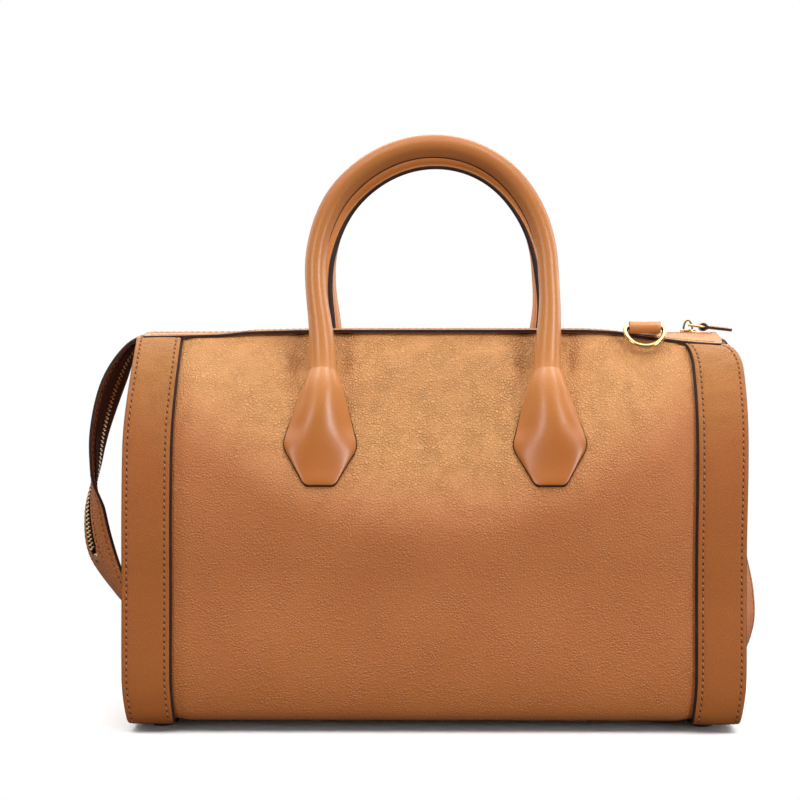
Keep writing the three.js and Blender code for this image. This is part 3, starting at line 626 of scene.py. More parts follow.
@dataclass(frozen=True)
class EdgePaint:
    """Dark paint on cut leather edges, laid on by hand."""

    tone: Colour = (0.019, 0.007, 0.0045)
    worn: Colour = (0.045, 0.017, 0.010)
    roughness: float = 0.5

    def material(self) -> Material:
        """The paint's material."""
        paint = Paint("edge_paint")
        place = paint.place()
        streak = paint.noise(place, 3.5, 3)
        return paint.shade(
            Base_Color=paint.blend(streak.rise(0.5, 0.8), self.tone, self.worn),
            Roughness=self.roughness + (streak - 0.5) * 0.2,
            Specular_IOR_Level=0.35,
            Normal=paint.relief(paint.noise(place, 1.2, 2), 0.06),
        )


@dataclass(frozen=True)
class Thread:
    """Twisted sewing thread, or the painted shade where it runs into the leather."""

    name: str
    tone: Colour
    deep: Colour
    roughness: float

    def material(self) -> Material:
        """The thread's material."""
        paint = Paint(self.name)
        twist = paint.noise(paint.place((0, 0.5, 0.6), (1, 1, 0.3)), 0.45, 2)
        return paint.shade(
            Base_Color=paint.blend(twist.rise(0.35, 0.65), self.deep, self.tone),
            Roughness=self.roughness + (twist - 0.5) * 0.1,
            Normal=paint.relief(twist, 0.08),
        )


@dataclass(frozen=True)
class Metal:
    """Polished metal with faint wipe marks."""

    name: str
    tone: Colour
    deep: Colour
    roughness: float

    def material(self) -> Material:
        """The metal's material."""
        paint = Paint(self.name)
        smear = paint.noise(paint.place(), 6, 3)
        marks = paint.noise(paint.place((0.3, 0.2, 0), (1, 0.15, 1)), 0.5, 2)
        return paint.shade(
            Base_Color=paint.blend(smear.rise(0.35, 0.75), self.tone, self.deep),
            Metallic=1.0,
            Roughness=self.roughness + (smear - 0.5) * 0.12 + (marks - 0.5) * 0.06,
            Normal=paint.relief(marks, 0.01),
        )


@dataclass(frozen=True)
class Weave:
    """Woven cloth whose threads are pitch millimetres apart."""

    name: str
    tone: Colour
    deep: Colour
    pitch: float
    slant: float = 0.0

    def material(self) -> Material:
        """The cloth's material."""
        paint = Paint(self.name)
        turn = 2 * math.pi / (self.pitch * MM)
        across = (paint.flat(0) * turn).wave()
        along = ((paint.flat(1) + paint.flat(0) * self.slant) * turn).wave()
        height = across * along * 0.25 + (across + along) * 0.12 + 0.5
        fuzz = paint.noise(paint.place(), 0.8, 2)
        return paint.shade(
            Base_Color=paint.blend(height * 0.7 + fuzz * 0.3, self.deep, self.tone),
            Roughness=0.8 + (fuzz - 0.5) * 0.15,
            Normal=paint.relief(height + fuzz * 0.2, 0.18),
        )


@dataclass(frozen=True)
class Lacquer:
    """Dark lacquer over a domed foot, worn lighter where it stands."""

    tone: Colour = (0.055, 0.022, 0.014)
    rubbed: Colour = (0.16, 0.075, 0.05)

    def material(self) -> Material:
        """The lacquer's material."""
        paint = Paint("foot_lacquer")
        level = paint.spot()[2]
        scuff = paint.noise(paint.place(), 1.5, 3)
        rubbed = (1 - level.rise(0.0, 0.0016)) * scuff.rise(0.3, 0.7)
        return paint.shade(
            Base_Color=paint.blend(rubbed, self.tone, self.rubbed),
            Roughness=0.3 + rubbed * 0.25 + (scuff - 0.5) * 0.1,
            Normal=paint.relief(scuff, 0.03),
        )


class Finishes:
    """Every material of the bag, made once."""

    def __init__(self) -> None:
        """Makes the materials."""
        tans = ((0.450, 0.130, 0.0205), (0.315, 0.079, 0.0115), (0.468, 0.141, 0.023))
        band_tans = ((0.368, 0.104, 0.0165), (0.258, 0.064, 0.0095), (0.384, 0.114, 0.0185))
        # painted light: these three are the paler tones of band, grain and smooth leather where the lamps
        # fall
        painted_light_tone, panel_painted_light, smooth_painted_light = (0.46, 0.188, 0.046), (0.72, 0.335, 0.108), (0.66, 0.252, 0.066)
        browns = ((0.19, 0.058, 0.019), (0.09, 0.025, 0.008), (0.22, 0.068, 0.023), (0.20, 0.061, 0.020))
        pebbled = (1.65, 0.66, 0.95, 0.42)
        self.grain = Leather("grain_leather", *tans, panel_painted_light, *pebbled, gloss=0.6).material()
        self.band = Leather(
            "band_leather",
            *band_tans,
            painted_light_tone,
            *(1.5, 0.6, 0.5, 0.42),
            turn=(0, 0.62, 0),
            stretch=(1, 1, 2.1),
            gloss=0.28,
            painted_light_bow=2.0,
        ).material()
        self.smooth = Leather(
            "smooth_leather",
            *tans,
            smooth_painted_light,
            *(1.0, 0.5, 0.008, 0.29),
            gloss=0.3,
            glaze=0.75,
            painted_light_from=0.135,
            painted_light_to=0.195,
        ).material()
        self.inner = Leather("inner_leather", *browns, 0.9, 0.4, 0.12, 0.6).material()
        self.paint = EdgePaint().material()
        self.thread = Thread("tan_thread", (0.50, 0.19, 0.06), (0.33, 0.10, 0.03), 0.55).material()
        # painted shade: dark marks where the stitches sink into the leather
        self.hole_shade = Thread("stitch_hole_shade", (0.085, 0.026, 0.010), (0.045, 0.013, 0.005), 0.8).material()
        self.gold = Metal("gold_metal", (0.86, 0.62, 0.30), (0.74, 0.50, 0.22), 0.2).material()
        self.tape = Weave("zip_tape", (0.085, 0.034, 0.018), (0.028, 0.010, 0.006), 0.55, 0.5).material()
        self.lining = Weave("lining_cloth", (0.235, 0.105, 0.052), (0.11, 0.045, 0.022), 0.6).material()
        self.board = Weave("shaper_board", (0.06, 0.034, 0.022), (0.03, 0.017, 0.011), 1.4).material()
        self.rope = Weave("handle_rope", (0.62, 0.52, 0.36), (0.40, 0.31, 0.19), 0.9, 0.7).material()
        self.foot = Lacquer().material()


@dataclass(frozen=True)
class BagForm:
    """The soft body's form: one wall profile, settled at the ends and slack between the bands."""

    half_length: float
    belly_half_depth: float
    mouth_height: float
    base_height: float
    belly_height: float = 95.0
    mouth_half_depth: float = 31.0
    mouth_slope: float = math.radians(28)
    shoulder_reach: float = 36.0
    shoulder_rise: float = 70.0
    base_half_depth: float = 54.0
    base_corner: float = 23.0
    corner_rise: float = 45.0
    settle_from: float = 105.0
    top_draw_in: float = 3.5
    bottom_draw_in: float = 3.0
    bottom_draw_height: float = 34.0
    left_drop: float = 2.5
    left_drop_from: float = 50.0
    right_drop: float = 7.0
    right_drop_from: float = 85.0
    right_reach: float = 1.1
    right_bulge: float = 1.9
    right_bulge_to: float = 185.0
    right_corner: float = 6.4
    right_corner_from: float = 211.5
    base_sag: float = 3.3
    sag_height: float = 62.0
    gap: float = 0.3
    leather: float = 2.4
    strip_wall: float = 2.2
    strip_half_depth: float = 34.0
    slot_half: float = 5.5
    zip_sag: float = 2.0
    handle_place: float = 65.0
    handle_shift: float = 1.4
    free_ends: Pair = (90.0, 145.0)
    free_half: float = 150.0
    hollow: float = 0.85
    hollow_heights: Pair = (60.0, 120.0)
    fold_height: float = 118.0
    fold_rise: float = 56.0
    fold_round: float = 2.6
    fold_ridge: float = 0.5
    ridge_half: float = 15.0
    low_bulge: float = 8.5
    bulge_from: float = 17.0
    bulge_top: float = 92.0
    bulge_fall: float = 73.0
    dent: float = 4.8
    dent_places: Pair = (-12.5, 12.0)
    dent_half_width: float = 5.2
    dent_half_height: float = 9.0
    dent_height: float = 213.0
    profile_steps: int = 301

    @classmethod
    def from_frame(cls) -> "BagForm":
        """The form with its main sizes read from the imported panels."""
        low, high = node_box("front_panel")
        return cls(
            half_length=(high[0] - low[0]) / 2,
            belly_half_depth=-low[1],
            mouth_height=high[2],
            base_height=node_box("base_panel")[0][2],
        )

    @cached_property
    def profile(self) -> tuple[Array, Array, Array]:
        """Distances down the wall, its points (depth, height) and its outward normals."""
        mouth = np.array([self.mouth_half_depth, self.mouth_height])
        belly = np.array([self.belly_half_depth, self.belly_height])
        base = np.array([self.base_half_depth, self.base_height])
        lean = np.array([math.cos(self.mouth_slope), -math.sin(self.mouth_slope)])
        shoulder = [mouth, mouth + self.shoulder_reach * lean, belly + [0, self.shoulder_rise], belly]
        corner = [belly, belly - [0, self.corner_rise], base + [self.base_corner, 0], base]
        steps = self.profile_steps
        points = np.vstack([bezier(shoulder, steps), bezier(corner, steps)[1:]])
        along = unit(np.gradient(points, axis=0))
        return run_lengths(points), points, np.stack([-along[:, 1], along[:, 0]], axis=1)

    @cached_property
    def girth(self) -> float:
        """Length of one wall from the mouth to the base."""
        return float(self.profile[0][-1])

    @cached_property
    def round_length(self) -> float:
        """Length of the way down the front, under the base and up the back."""
        return 2 * self.girth + 2 * self.base_half_depth

    def at(self, down: Array) -> tuple[Array, Array, Array, Array]:
        """Depth and height of the wall, and its outward direction, at distances below the mouth."""
        lengths, points, normals = self.profile
        columns = (points[:, 0], points[:, 1], normals[:, 0], normals[:, 1])
        return tuple(np.interp(down, lengths, column) for column in columns)

    def down_to(self, column: int, value: float) -> float:
        """Distance below the mouth at which depth (0) or height (1) first passes a value."""
        lengths, points, _ = self.profile
        shoulder = points[: self.profile_steps, column]
        order = np.argsort(shoulder)
        return float(np.interp(value, shoulder[order], lengths[: self.profile_steps][order]))

    def mouth_drop(self, x: Array) -> Array:
        """How far the mouth has sunk along the bag."""
        left = self.left_drop * ease(-np.asarray(x), self.left_drop_from, self.half_length)
        return left + self.right_drop * ease(x, self.right_drop_from, self.half_length)

    def strip_top(self, depth: Array | float) -> Array:
        """Height of the zip strips' face at a distance from the middle plane."""
        slope = self.zip_sag / (self.strip_half_depth - self.slot_half)
        level = self.mouth_height + self.gap + self.strip_wall
        return level + (np.asarray(depth) - self.mouth_half_depth) * slope

    def settle(self, x: Array, y: Array, z: Array) -> Array:
        """Points of the straight bag, moved to where the soft ends have settled."""
        x, y, z = np.broadcast_arrays(np.asarray(x, float), y, z)
        end = ease(np.abs(x), self.settle_from, self.half_length)
        high = ease(z, (self.belly_height + self.mouth_height) / 2, self.mouth_height)
        low = 1 - ease(z, 0, self.bottom_draw_height)
        turned = (z - self.right_corner_from) / (self.mouth_height - self.right_corner_from)
        corner = self.right_corner * (1 - np.sqrt(1 - np.clip(turned, 0, 1) ** 2))
        bulge = self.right_reach + self.right_bulge * ease(z, self.belly_height, self.right_bulge_to)
        top = np.where(x < 0, self.top_draw_in * high, corner - bulge)
        draw_in = (top + self.bottom_draw_in * low) * end
        sag = self.base_sag * (1 - ease(z, self.base_height, self.sag_height))
        return np.stack([x - np.sign(x) * draw_in, y, z - self.mouth_drop(x) * high - sag], axis=-1)

    def slack(self, x: Array, z: Array, side: Array | int) -> Array:
        """How far the soft wall lies outside, or with a minus inside, its taut form."""
        free = 1 - ease(np.abs(x), *self.free_ends)
        middle = np.clip(1 - (np.asarray(x) / self.free_half) ** 2, 0, 1)
        _, points, normals = self.profile
        taut = np.interp(-np.asarray(z, float), -points[:, 1], points[:, 0])
        out = np.interp(-np.asarray(z, float), -points[:, 1], normals[:, 0])
        fold = self.fold_height + self.fold_rise * (1 - middle)
        slope = (self.belly_half_depth - self.mouth_half_depth) / (self.mouth_height - fold)
        chord = self.mouth_half_depth + (self.mouth_height - z) * slope
        apart = (taut - chord) / self.fold_round
        fall = self.fold_round * np.where(apart > 30, apart, np.log1p(np.exp(np.minimum(apart, 30))))
        hollow = -self.hollow * middle**0.8 * fall * out * ease(z, *self.hollow_heights)
        hollow = hollow + self.fold_ridge * middle * np.exp(-(((z - fold) / self.ridge_half) ** 2))
        lower = np.clip((self.bulge_top - z) / self.bulge_fall, 0, 1) ** 1.8
        bulge = self.low_bulge * ease(z, self.base_height, self.bulge_from) * lower
        ripple = 0.45 * np.sin(x / 23 + z / 31 + side) + 0.3 * np.sin(x / 12.5 - z / 19 + 2.1 * side)
        ripple = ripple * free * ease(z, 18, 60) * (1 - ease(z, 175, 215))
        dents = 0.0
        for leg in (self.handle_shift - self.handle_place, self.handle_shift + self.handle_place):
            for beside in self.dent_places:
                aside = (x - leg - beside) / self.dent_half_width
                above = (z - self.dent_height) / self.dent_half_height
                dents = dents - self.dent * np.exp(-(aside**2 + above**2))
        return hollow + ripple + dents + bulge

    def wall(self, x: Array, down: Array, rise: Array | float, side: int) -> Array:
        """Points over one wall.

        Args:
            x: Places along the bag.
            down: Distances below the mouth.
            rise: Distance outward from the wall's face.
            side: Sign of the wall's Y.

        Returns:
            Points in the shape that the three give together.
        """
        depth, height, out, up = self.at(down)
        lift = rise + self.slack(x, height, side)
        return self.settle(x, side * (depth + out * lift), height + up * lift)

    def around(self, x: Array, run: Array, rise: Array | float) -> Array:
        """Points on the way down the front, under the base and up the back."""
        down = np.minimum(np.minimum(run, self.round_length - run), self.girth)
        depth, height, out, up = self.at(down)
        side = np.where(run < self.round_length / 2, -1.0, 1.0)
        under = np.minimum(run, self.round_length - run) > self.girth
        lift = rise + np.where(under, 0, self.slack(x, height, side))
        y = np.where(under, run - self.round_length / 2, side * (depth + out * lift))
        return self.settle(x, y, height + up * lift)

    def around_out(self, run: Array) -> Array:
        """Outward directions on the same way."""
        down = np.minimum(np.minimum(run, self.round_length - run), self.girth)
        _, _, out, up = self.at(down)
        side = np.where(run < self.round_length / 2, -1.0, 1.0)
        return np.stack([np.zeros_like(out), side * out, up], axis=-1)


class Motif(Enum):
    """Small shapes that are laid in rows."""

    STITCH = "stitch"
    TOOTH = "tooth"


class RowTree:
    """A node tree that lays one small shape on every point of a row."""

    def __init__(self, motif: Motif) -> None:
        """Builds the tree for a motif."""
        self.tree = bpy.data.node_groups.new(f"row_of_{motif.value}", "GeometryNodeTree")
        faces = self.tree.interface
        faces.new_socket("Row", in_out="INPUT", socket_type="NodeSocketGeometry")
        self.size_key = faces.new_socket("Size", in_out="INPUT", socket_type="NodeSocketVector").identifier
        finish = faces.new_socket("Finish", in_out="INPUT", socket_type="NodeSocketMaterial")
        self.finish_key = finish.identifier
        faces.new_socket("Pieces", in_out="OUTPUT", socket_type="NodeSocketGeometry")
        given = self._node("NodeGroupInput")
        if motif is Motif.STITCH:
            shape = self._node("GeometryNodeMeshUVSphere", {"Segments": 8, "Rings": 5, "Radius": 0.5})
        else:
            shape = self._node("GeometryNodeMeshCylinder", {"Vertices": 8, "Radius": 0.5, "Depth": 1.0})
        turn = (math.pi / 2, 0, 0) if motif is Motif.TOOTH else (0, 0, 0)
        turned = self._node("GeometryNodeTransform", {"Geometry": shape.outputs[0], "Rotation": turn})
        scale = {"Geometry": turned.outputs[0], "Scale": given.outputs["Size"]}
        sized = self._node("GeometryNodeTransform", scale)
        shading = {"Geometry": sized.outputs[0], "Shade Smooth": motif is Motif.STITCH}
        smooth = self._node("GeometryNodeSetShadeSmooth", shading)
        axes = self._node(
            "FunctionNodeAxesToRotation",
            {"Primary Axis": self._named("along"), "Secondary Axis": self._named("out")},
            {"primary_axis": "X", "secondary_axis": "Z"},
        )
        laid = self._node(
            "GeometryNodeInstanceOnPoints",
            {"Points": given.outputs["Row"], "Instance": smooth.outputs[0], "Rotation": axes.outputs[0]},
        )
        real = self._node("GeometryNodeRealizeInstances", {"Geometry": laid.outputs[0]})
        done = self._node(
            "GeometryNodeSetMaterial", {"Geometry": real.outputs[0], "Material": given.outputs["Finish"]}
        )
        self._node("NodeGroupOutput", {"Pieces": done.outputs[0]})

    def _node(self, kind: str, inputs: dict | None = None, settings: dict | None = None) -> bpy.types.Node:
        """Adds a node with its values, links and settings."""
        return add_node(self.tree, kind, settings, inputs)

    def _named(self, name: str) -> Socket:
        """A direction stored on the row's points."""
        node = self._node("GeometryNodeInputNamedAttribute", {"Name": name}, {"data_type": "FLOAT_VECTOR"})
        return node.outputs[0]

    def lay(
        self, name: str, marks: tuple[Array, Array, Array], size: Triple, finish: Material
    ) -> Piece:
        """Lays the shape on a row and makes the result a plain mesh.

        Args:
            name: The piece's name.
            marks: Points, directions along the row and outward directions.
            size: Length, width and height of the shape, in millimetres.
            finish: Its material.

        Returns:
            The object, at the origin.
        """
        points, along, out = marks
        row = bpy.data.meshes.new(f"{name}_row")
        row.from_pydata(((points + np.array([MID_X, 0, 0])) * MM).tolist(), [], [])
        for key, vectors in (("along", along), ("out", out)):
            data = row.attributes.new(key, "FLOAT_VECTOR", "POINT").data
            data.foreach_set("vector", np.ascontiguousarray(vectors, np.float32).ravel())
        host = add_object(f"{name}_host", row)
        modifier = host.modifiers.new("row", "NODES")
        modifier.node_group = self.tree
        modifier[self.size_key] = tuple(length * MM for length in size)
        modifier[self.finish_key] = finish
        bpy.context.view_layer.update()
        graph = bpy.context.evaluated_depsgraph_get()
        mesh = bpy.data.meshes.new_from_object(host.evaluated_get(graph))
        mesh.name = name
        bpy.data.objects.remove(host)
        return add_object(name, mesh)


@dataclass(frozen=True)
class SeamLine:
    """A line on a surface that stitches follow."""

    points: Array
    out: Array

    def marks(self, pitch: float, shift: float, slant: float = 0.0) -> tuple[Array, Array, Array]:
        """Evenly spaced places.

        Args:
            pitch: Distance between places.
            shift: Share of the pitch by which the first place is moved on.
            slant: Turn of each place about its outward direction, in radians.

        Returns:
            Points, directions along the row and outward directions.
        """
        lengths = run_lengths(self.points)
        count = max(1, int(lengths[-1] // pitch))
        spots = (np.arange(count) + shift) * lengths[-1] / count

        def pick(vectors: Array) -> Array:
            """Vectors at the places."""
            rows = np.broadcast_to(vectors, self.points.shape)
            return np.stack([np.interp(spots, lengths, column) for column in rows.T], axis=1)

        out = unit(pick(self.out))
        along = unit(pick(np.gradient(self.points, axis=0)))
        across = np.cross(out, along)
        return pick(self.points), unit(along * math.cos(slant) + across * math.sin(slant)), out


@dataclass
class Sewing:
    """Rows of slanted stitches, with painted shade where they sink into the leather."""

    finishes: Finishes
    pitch: float = 3.6
    slant: float = 0.16
    thread: Triple = (2.5, 0.9, 0.7)
    hole_shade: Triple = (1.8, 1.05, 0.36)

    def __post_init__(self) -> None:
        """Builds the tree that the rows share."""
        self.tree = RowTree(Motif.STITCH)

    def sew(self, name: str, lines: list[SeamLine], hold: Hold, slot: Slot) -> None:
        """Sews along lines.

        Args:
            name: Start of the pieces' names.
            lines: The rows.
            hold: What the stitches move with.
            slot: Finish, passed on to attach.
        """
        kinds = (
            ("threads", 0.5, self.slant, self.thread, self.finishes.thread),
            ("holes", 0.0, 2 * self.slant, self.hole_shade, self.finishes.hole_shade),
        )
        for word, shift, slant, size, finish in kinds:
            rows = [line.marks(self.pitch, shift, slant) for line in lines]
            marks = tuple(np.vstack([row[k] for row in rows]) for k in range(3))
            attach(self.tree.lay(f"{name}_{word}", marks, size, finish), slot, hold)


@dataclass
class Walls:
    """Panels, base, end panels, lining and the stiff board on the bag's floor."""

    form: BagForm
    finishes: Finishes
    tuck_from: float = 138.0
    tuck_to: float = 147.0
    under_band: Pair = (149.5, 156.0)
    tuck: float = 1.5
    rim_rise: float = 1.1
    rim_turn: Pair = (2.5, 8.0)
    lining_wall: float = 0.8
    lining_drop: float = 2.0
    end_inset: float = 6.0
    end_drop: float = 3.0
    end_sag: float = 1.6
    sag_from: Pair = (60.0, 120.0)
    sag_to: Pair = (150.0, 215.0)
    tape_room: float = 14.0
    lift_ends: Pair = (29.0, 33.0)
    lift_depth: float = 22.0
    lift_gap: float = 0.1

    @cached_property
    def places(self) -> Array:
        """Places along the bag, closer together beside the bands."""
        edge = np.array([139.5, 141, 142.3, 143.5, 144.6, 145.6, 146.5, 147.3, 149, 153, 160, 167.5])
        half = np.concatenate([np.arange(2, 139, 2.0), edge, [self.form.half_length]])
        return np.concatenate([-half[::-1], [0], half])

    def panel(self, side: Side) -> None:
        """One long wall, tucked in beside the bands."""
        form = self.form
        down = np.linspace(0, form.girth, 127)[:, None]
        x = self.places[None, :]
        beside = np.abs(x)
        tucked = ease(beside, self.tuck_from, self.tuck_to) - ease(beside, *self.under_band)
        turned = self.rim_rise * (1 - ease(down, *self.rim_turn))
        outer = form.wall(x, down, turned - self.tuck * tucked, side.value)
        skin = Skin().sheet(outer, form.wall(x, down, -form.leather, side.value))
        name = f"{side.word}_panel"
        piece = skin.make(f"{name}_skin", self.finishes.grain, self.finishes.paint)
        attach(piece, Slot.GRAIN, Body.BAG, name)

    def base(self) -> None:
        """The floor between the walls."""
        form = self.form
        y = np.linspace(form.gap - form.base_half_depth, form.base_half_depth - form.gap, 25)[:, None]
        x = self.places[None, ::2]
        skin = Skin().sheet(*(form.settle(x, y, form.base_height + wall) for wall in (0, form.leather)))
        piece = skin.make("base_skin", self.finishes.band, self.finishes.paint)
        attach(piece, Slot.SMOOTH, Body.BAG, "base_panel")

    def end_panel(self, end: End) -> None:
        """The wall across one end, a little slack, its top edge raised under the zip."""
        form = self.form
        down = np.linspace(form.down_to(1, form.mouth_height - self.end_drop), form.girth, 61)[:, None]
        share = np.linspace(-1, 1, 41)[None, :]
        depth, height, out, up = form.at(down)
        inner = form.slack(end.value * form.half_length, height, -1) - form.leather - form.gap
        y = share * (depth + out * inner)
        z = height + up * inner + 0 * share
        name = f"{end.word}_end_panel"
        zip_room = node_box(name)[1][2]
        sag = self.end_sag * (1 - share**2) * ease(z, *self.sag_from) * (1 - ease(z, *self.sag_to))

        def face(reach: float) -> Array:
            """The panel's face at a distance from the bag's middle."""
            points = form.settle(end.value * (reach - sag), y, z)
            beside = np.abs(points[0, :, 1])
            beyond = np.clip((beside - form.slot_half) / (form.strip_half_depth - form.slot_half), 0, 1)
            under = form.strip_top(beside) - form.mouth_drop(points[0, :, 0]) * beyond
            under = under - form.strip_wall - form.gap
            under = np.minimum(under, np.where(beside < self.tape_room, zip_room, under)) - self.lift_gap
            lift = np.maximum(under - points[0, :, 2], 0) * (1 - ease(beside, *self.lift_ends))
            points[..., 2] += lift[None, :] * (1 - ease(down, down[0, 0], down[0, 0] + self.lift_depth))
            return points

        reach = form.half_length - self.end_inset
        skin = Skin().sheet(face(reach), face(reach - form.leather), parts=(0, 2, 1))
        finishes = (self.finishes.grain, self.finishes.paint, self.finishes.lining)
        attach(skin.make(f"{name}_skin", *finishes), Slot.GRAIN, Body.BAG, name)

    def lining(self) -> None:
        """Cloth that lines both walls and the floor."""
        form = self.form
        start = form.down_to(1, form.mouth_height - self.lining_drop)
        run = np.linspace(start, form.round_length - start, 171)[:, None]
        half = form.half_length - self.end_inset - form.leather - form.gap
        x = np.linspace(-half, half, 81)[None, :]
        inset = -form.leather - form.gap
        faces = (form.around(x, run, inset - wall) for wall in (0, self.lining_wall))
        skin = Skin().sheet(*faces, parts=(0, 0, 0), flat=gather(x, run))
        piece = skin.make("lining_cloth", self.finishes.lining)
        attach(piece, Slot.LINING, Body.BAG, "lining")
        2 * half * MM

    def board(self) -> None:
        """The stiff board on the floor, with softened edges."""
        low, high = node_box("base_shaper")
        half, middle = (high - low) / 2, (high + low) / 2
        rings = []
        for level, inset in ((0, 0.6), (0.25, 0), (0.75, 0), (1, 0.6)):
            ring = rounded_ring(half[0] - inset, half[1] - inset, 96, 0.12) + middle[:2]
            rings.append(gather(*ring.T, low[2] + level * (high[2] - low[2]) - self.form.base_sag))
        skin = Skin().rod(np.array(rings), flat=np.array(rings)[..., :2])
        attach(skin.make("floor_board", self.finishes.board), Slot.BOARD, Body.BAG, "base_shaper")

    def build(self) -> None:
        """Makes every piece."""
        for side in Side:
            self.panel(side)
        self.base()
        for end in End:
            self.end_panel(end)
        self.lining()
        self.board()


@dataclass
class EndBands:
    """Raised bands round both ends, crowned, sewn along both edges and painted on them."""

    form: BagForm
    finishes: Finishes
    sewing: Sewing
    wall: float = 2.0
    width: float = 27.5
    crown: float = 0.45
    stitch_inset: float = 3.1
    groove: float = 0.28
    edge_spread: float = 1.0

    def section(self) -> tuple[Array, Array, Array]:
        """Distances from the bag's middle across the band, with the face's and the back's height."""
        far = self.form.half_length
        near = far - self.width
        face = self.form.gap + self.wall
        rows = (far - self.stitch_inset, near + self.stitch_inset)
        inside = np.linspace(rows[0] - 2, rows[1] + 2, 11)
        beside = np.array([0.9, 0.35, -0.35, -0.9])
        far_edge, near_edge = far - np.array([0.2, 0.45, 1.0]), near + np.array([1.0, 0.4, 0.0])
        reach = np.hstack([far_edge, rows[0] + beside, inside, rows[1] + beside, near_edge])
        height = face + self.crown * (1 - ((reach - (far + near) / 2) / (self.width / 2)) ** 2)
        for row in rows:
            height = height - self.groove * np.exp(-(((reach - row) / 0.6) ** 2))
        height[[0, -1]] = self.form.gap + 0.8
        height[[1, -2]] = face - 0.35
        back = reach.copy()
        back[0] = far
        back[-1] = near - self.edge_spread
        return reach, height, back

    def band(self, end: End) -> None:
        """One band with its stitches."""
        form = self.form
        start = form.down_to(0, form.strip_half_depth + form.gap)
        run = np.linspace(start, form.round_length - start, 271)[:, None]
        reach, height, back = self.section()
        outer = form.around(end.value * reach[None, :], run, height[None, :])
        inner = form.around(end.value * back[None, :], run, np.full((1, len(back)), form.gap))
        painted = np.zeros((len(run) - 1, len(reach) - 1), bool)
        painted[:, [0, -1]] = True
        skin = Skin().sheet(outer, inner, painted=painted)
        name = f"{end.word}_band"
        piece = skin.make(f"{name}_leather", self.finishes.band, self.finishes.paint)
        attach(piece, Slot.SMOOTH, Body.BAG, name)
        lines = []
        for inset in (self.stitch_inset, self.width - self.stitch_inset):
            place = end.value * (form.half_length - inset)
            lift = form.gap + self.wall + 0.08
            points = form.around(place, run[:, 0], lift)
            lines.append(SeamLine(points, form.around_out(run[:, 0])))
        self.sewing.sew(name, lines, Body.BAG, Slot.SMOOTH)

    def build(self) -> None:
        """Makes both bands."""
        for end in End:
            self.band(end)


@dataclass
class Feet:
    """Four low domed feet, whose shape is given as shares of radius and height."""

    form: BagForm
    finishes: Finishes
    sides: int = 40
    radii: tuple[float, ...] = (0.02, 0.66, 0.8, 0.92, 0.985, 1.0, 1.0, 0.95)
    levels: tuple[float, ...] = (0.0, 0.0, 0.03, 0.16, 0.36, 0.6, 0.86, 1.0)

    def build(self) -> None:
        """Turns each foot on the CAD foot's axis."""
        turn = full_turn(self.sides)
        levels = np.array(self.levels)[:, None]
        for side in Side:
            for end in End:
                name = f"{side.word}_{end.word}_foot"
                low, high = node_box(name)
                high[2] -= self.form.base_sag
                middle = (low + high) / 2
                reach = (high[0] - low[0]) / 2 * np.array(self.radii)[:, None]
                x, y = middle[0] + reach * np.cos(turn), middle[1] + reach * np.sin(turn)
                skin = Skin().rod(gather(x, y, low[2] + (high[2] - low[2]) * levels))
                attach(skin.make(f"{name}_dome", self.finishes.foot), Slot.FOOT, Body.BAG, name)


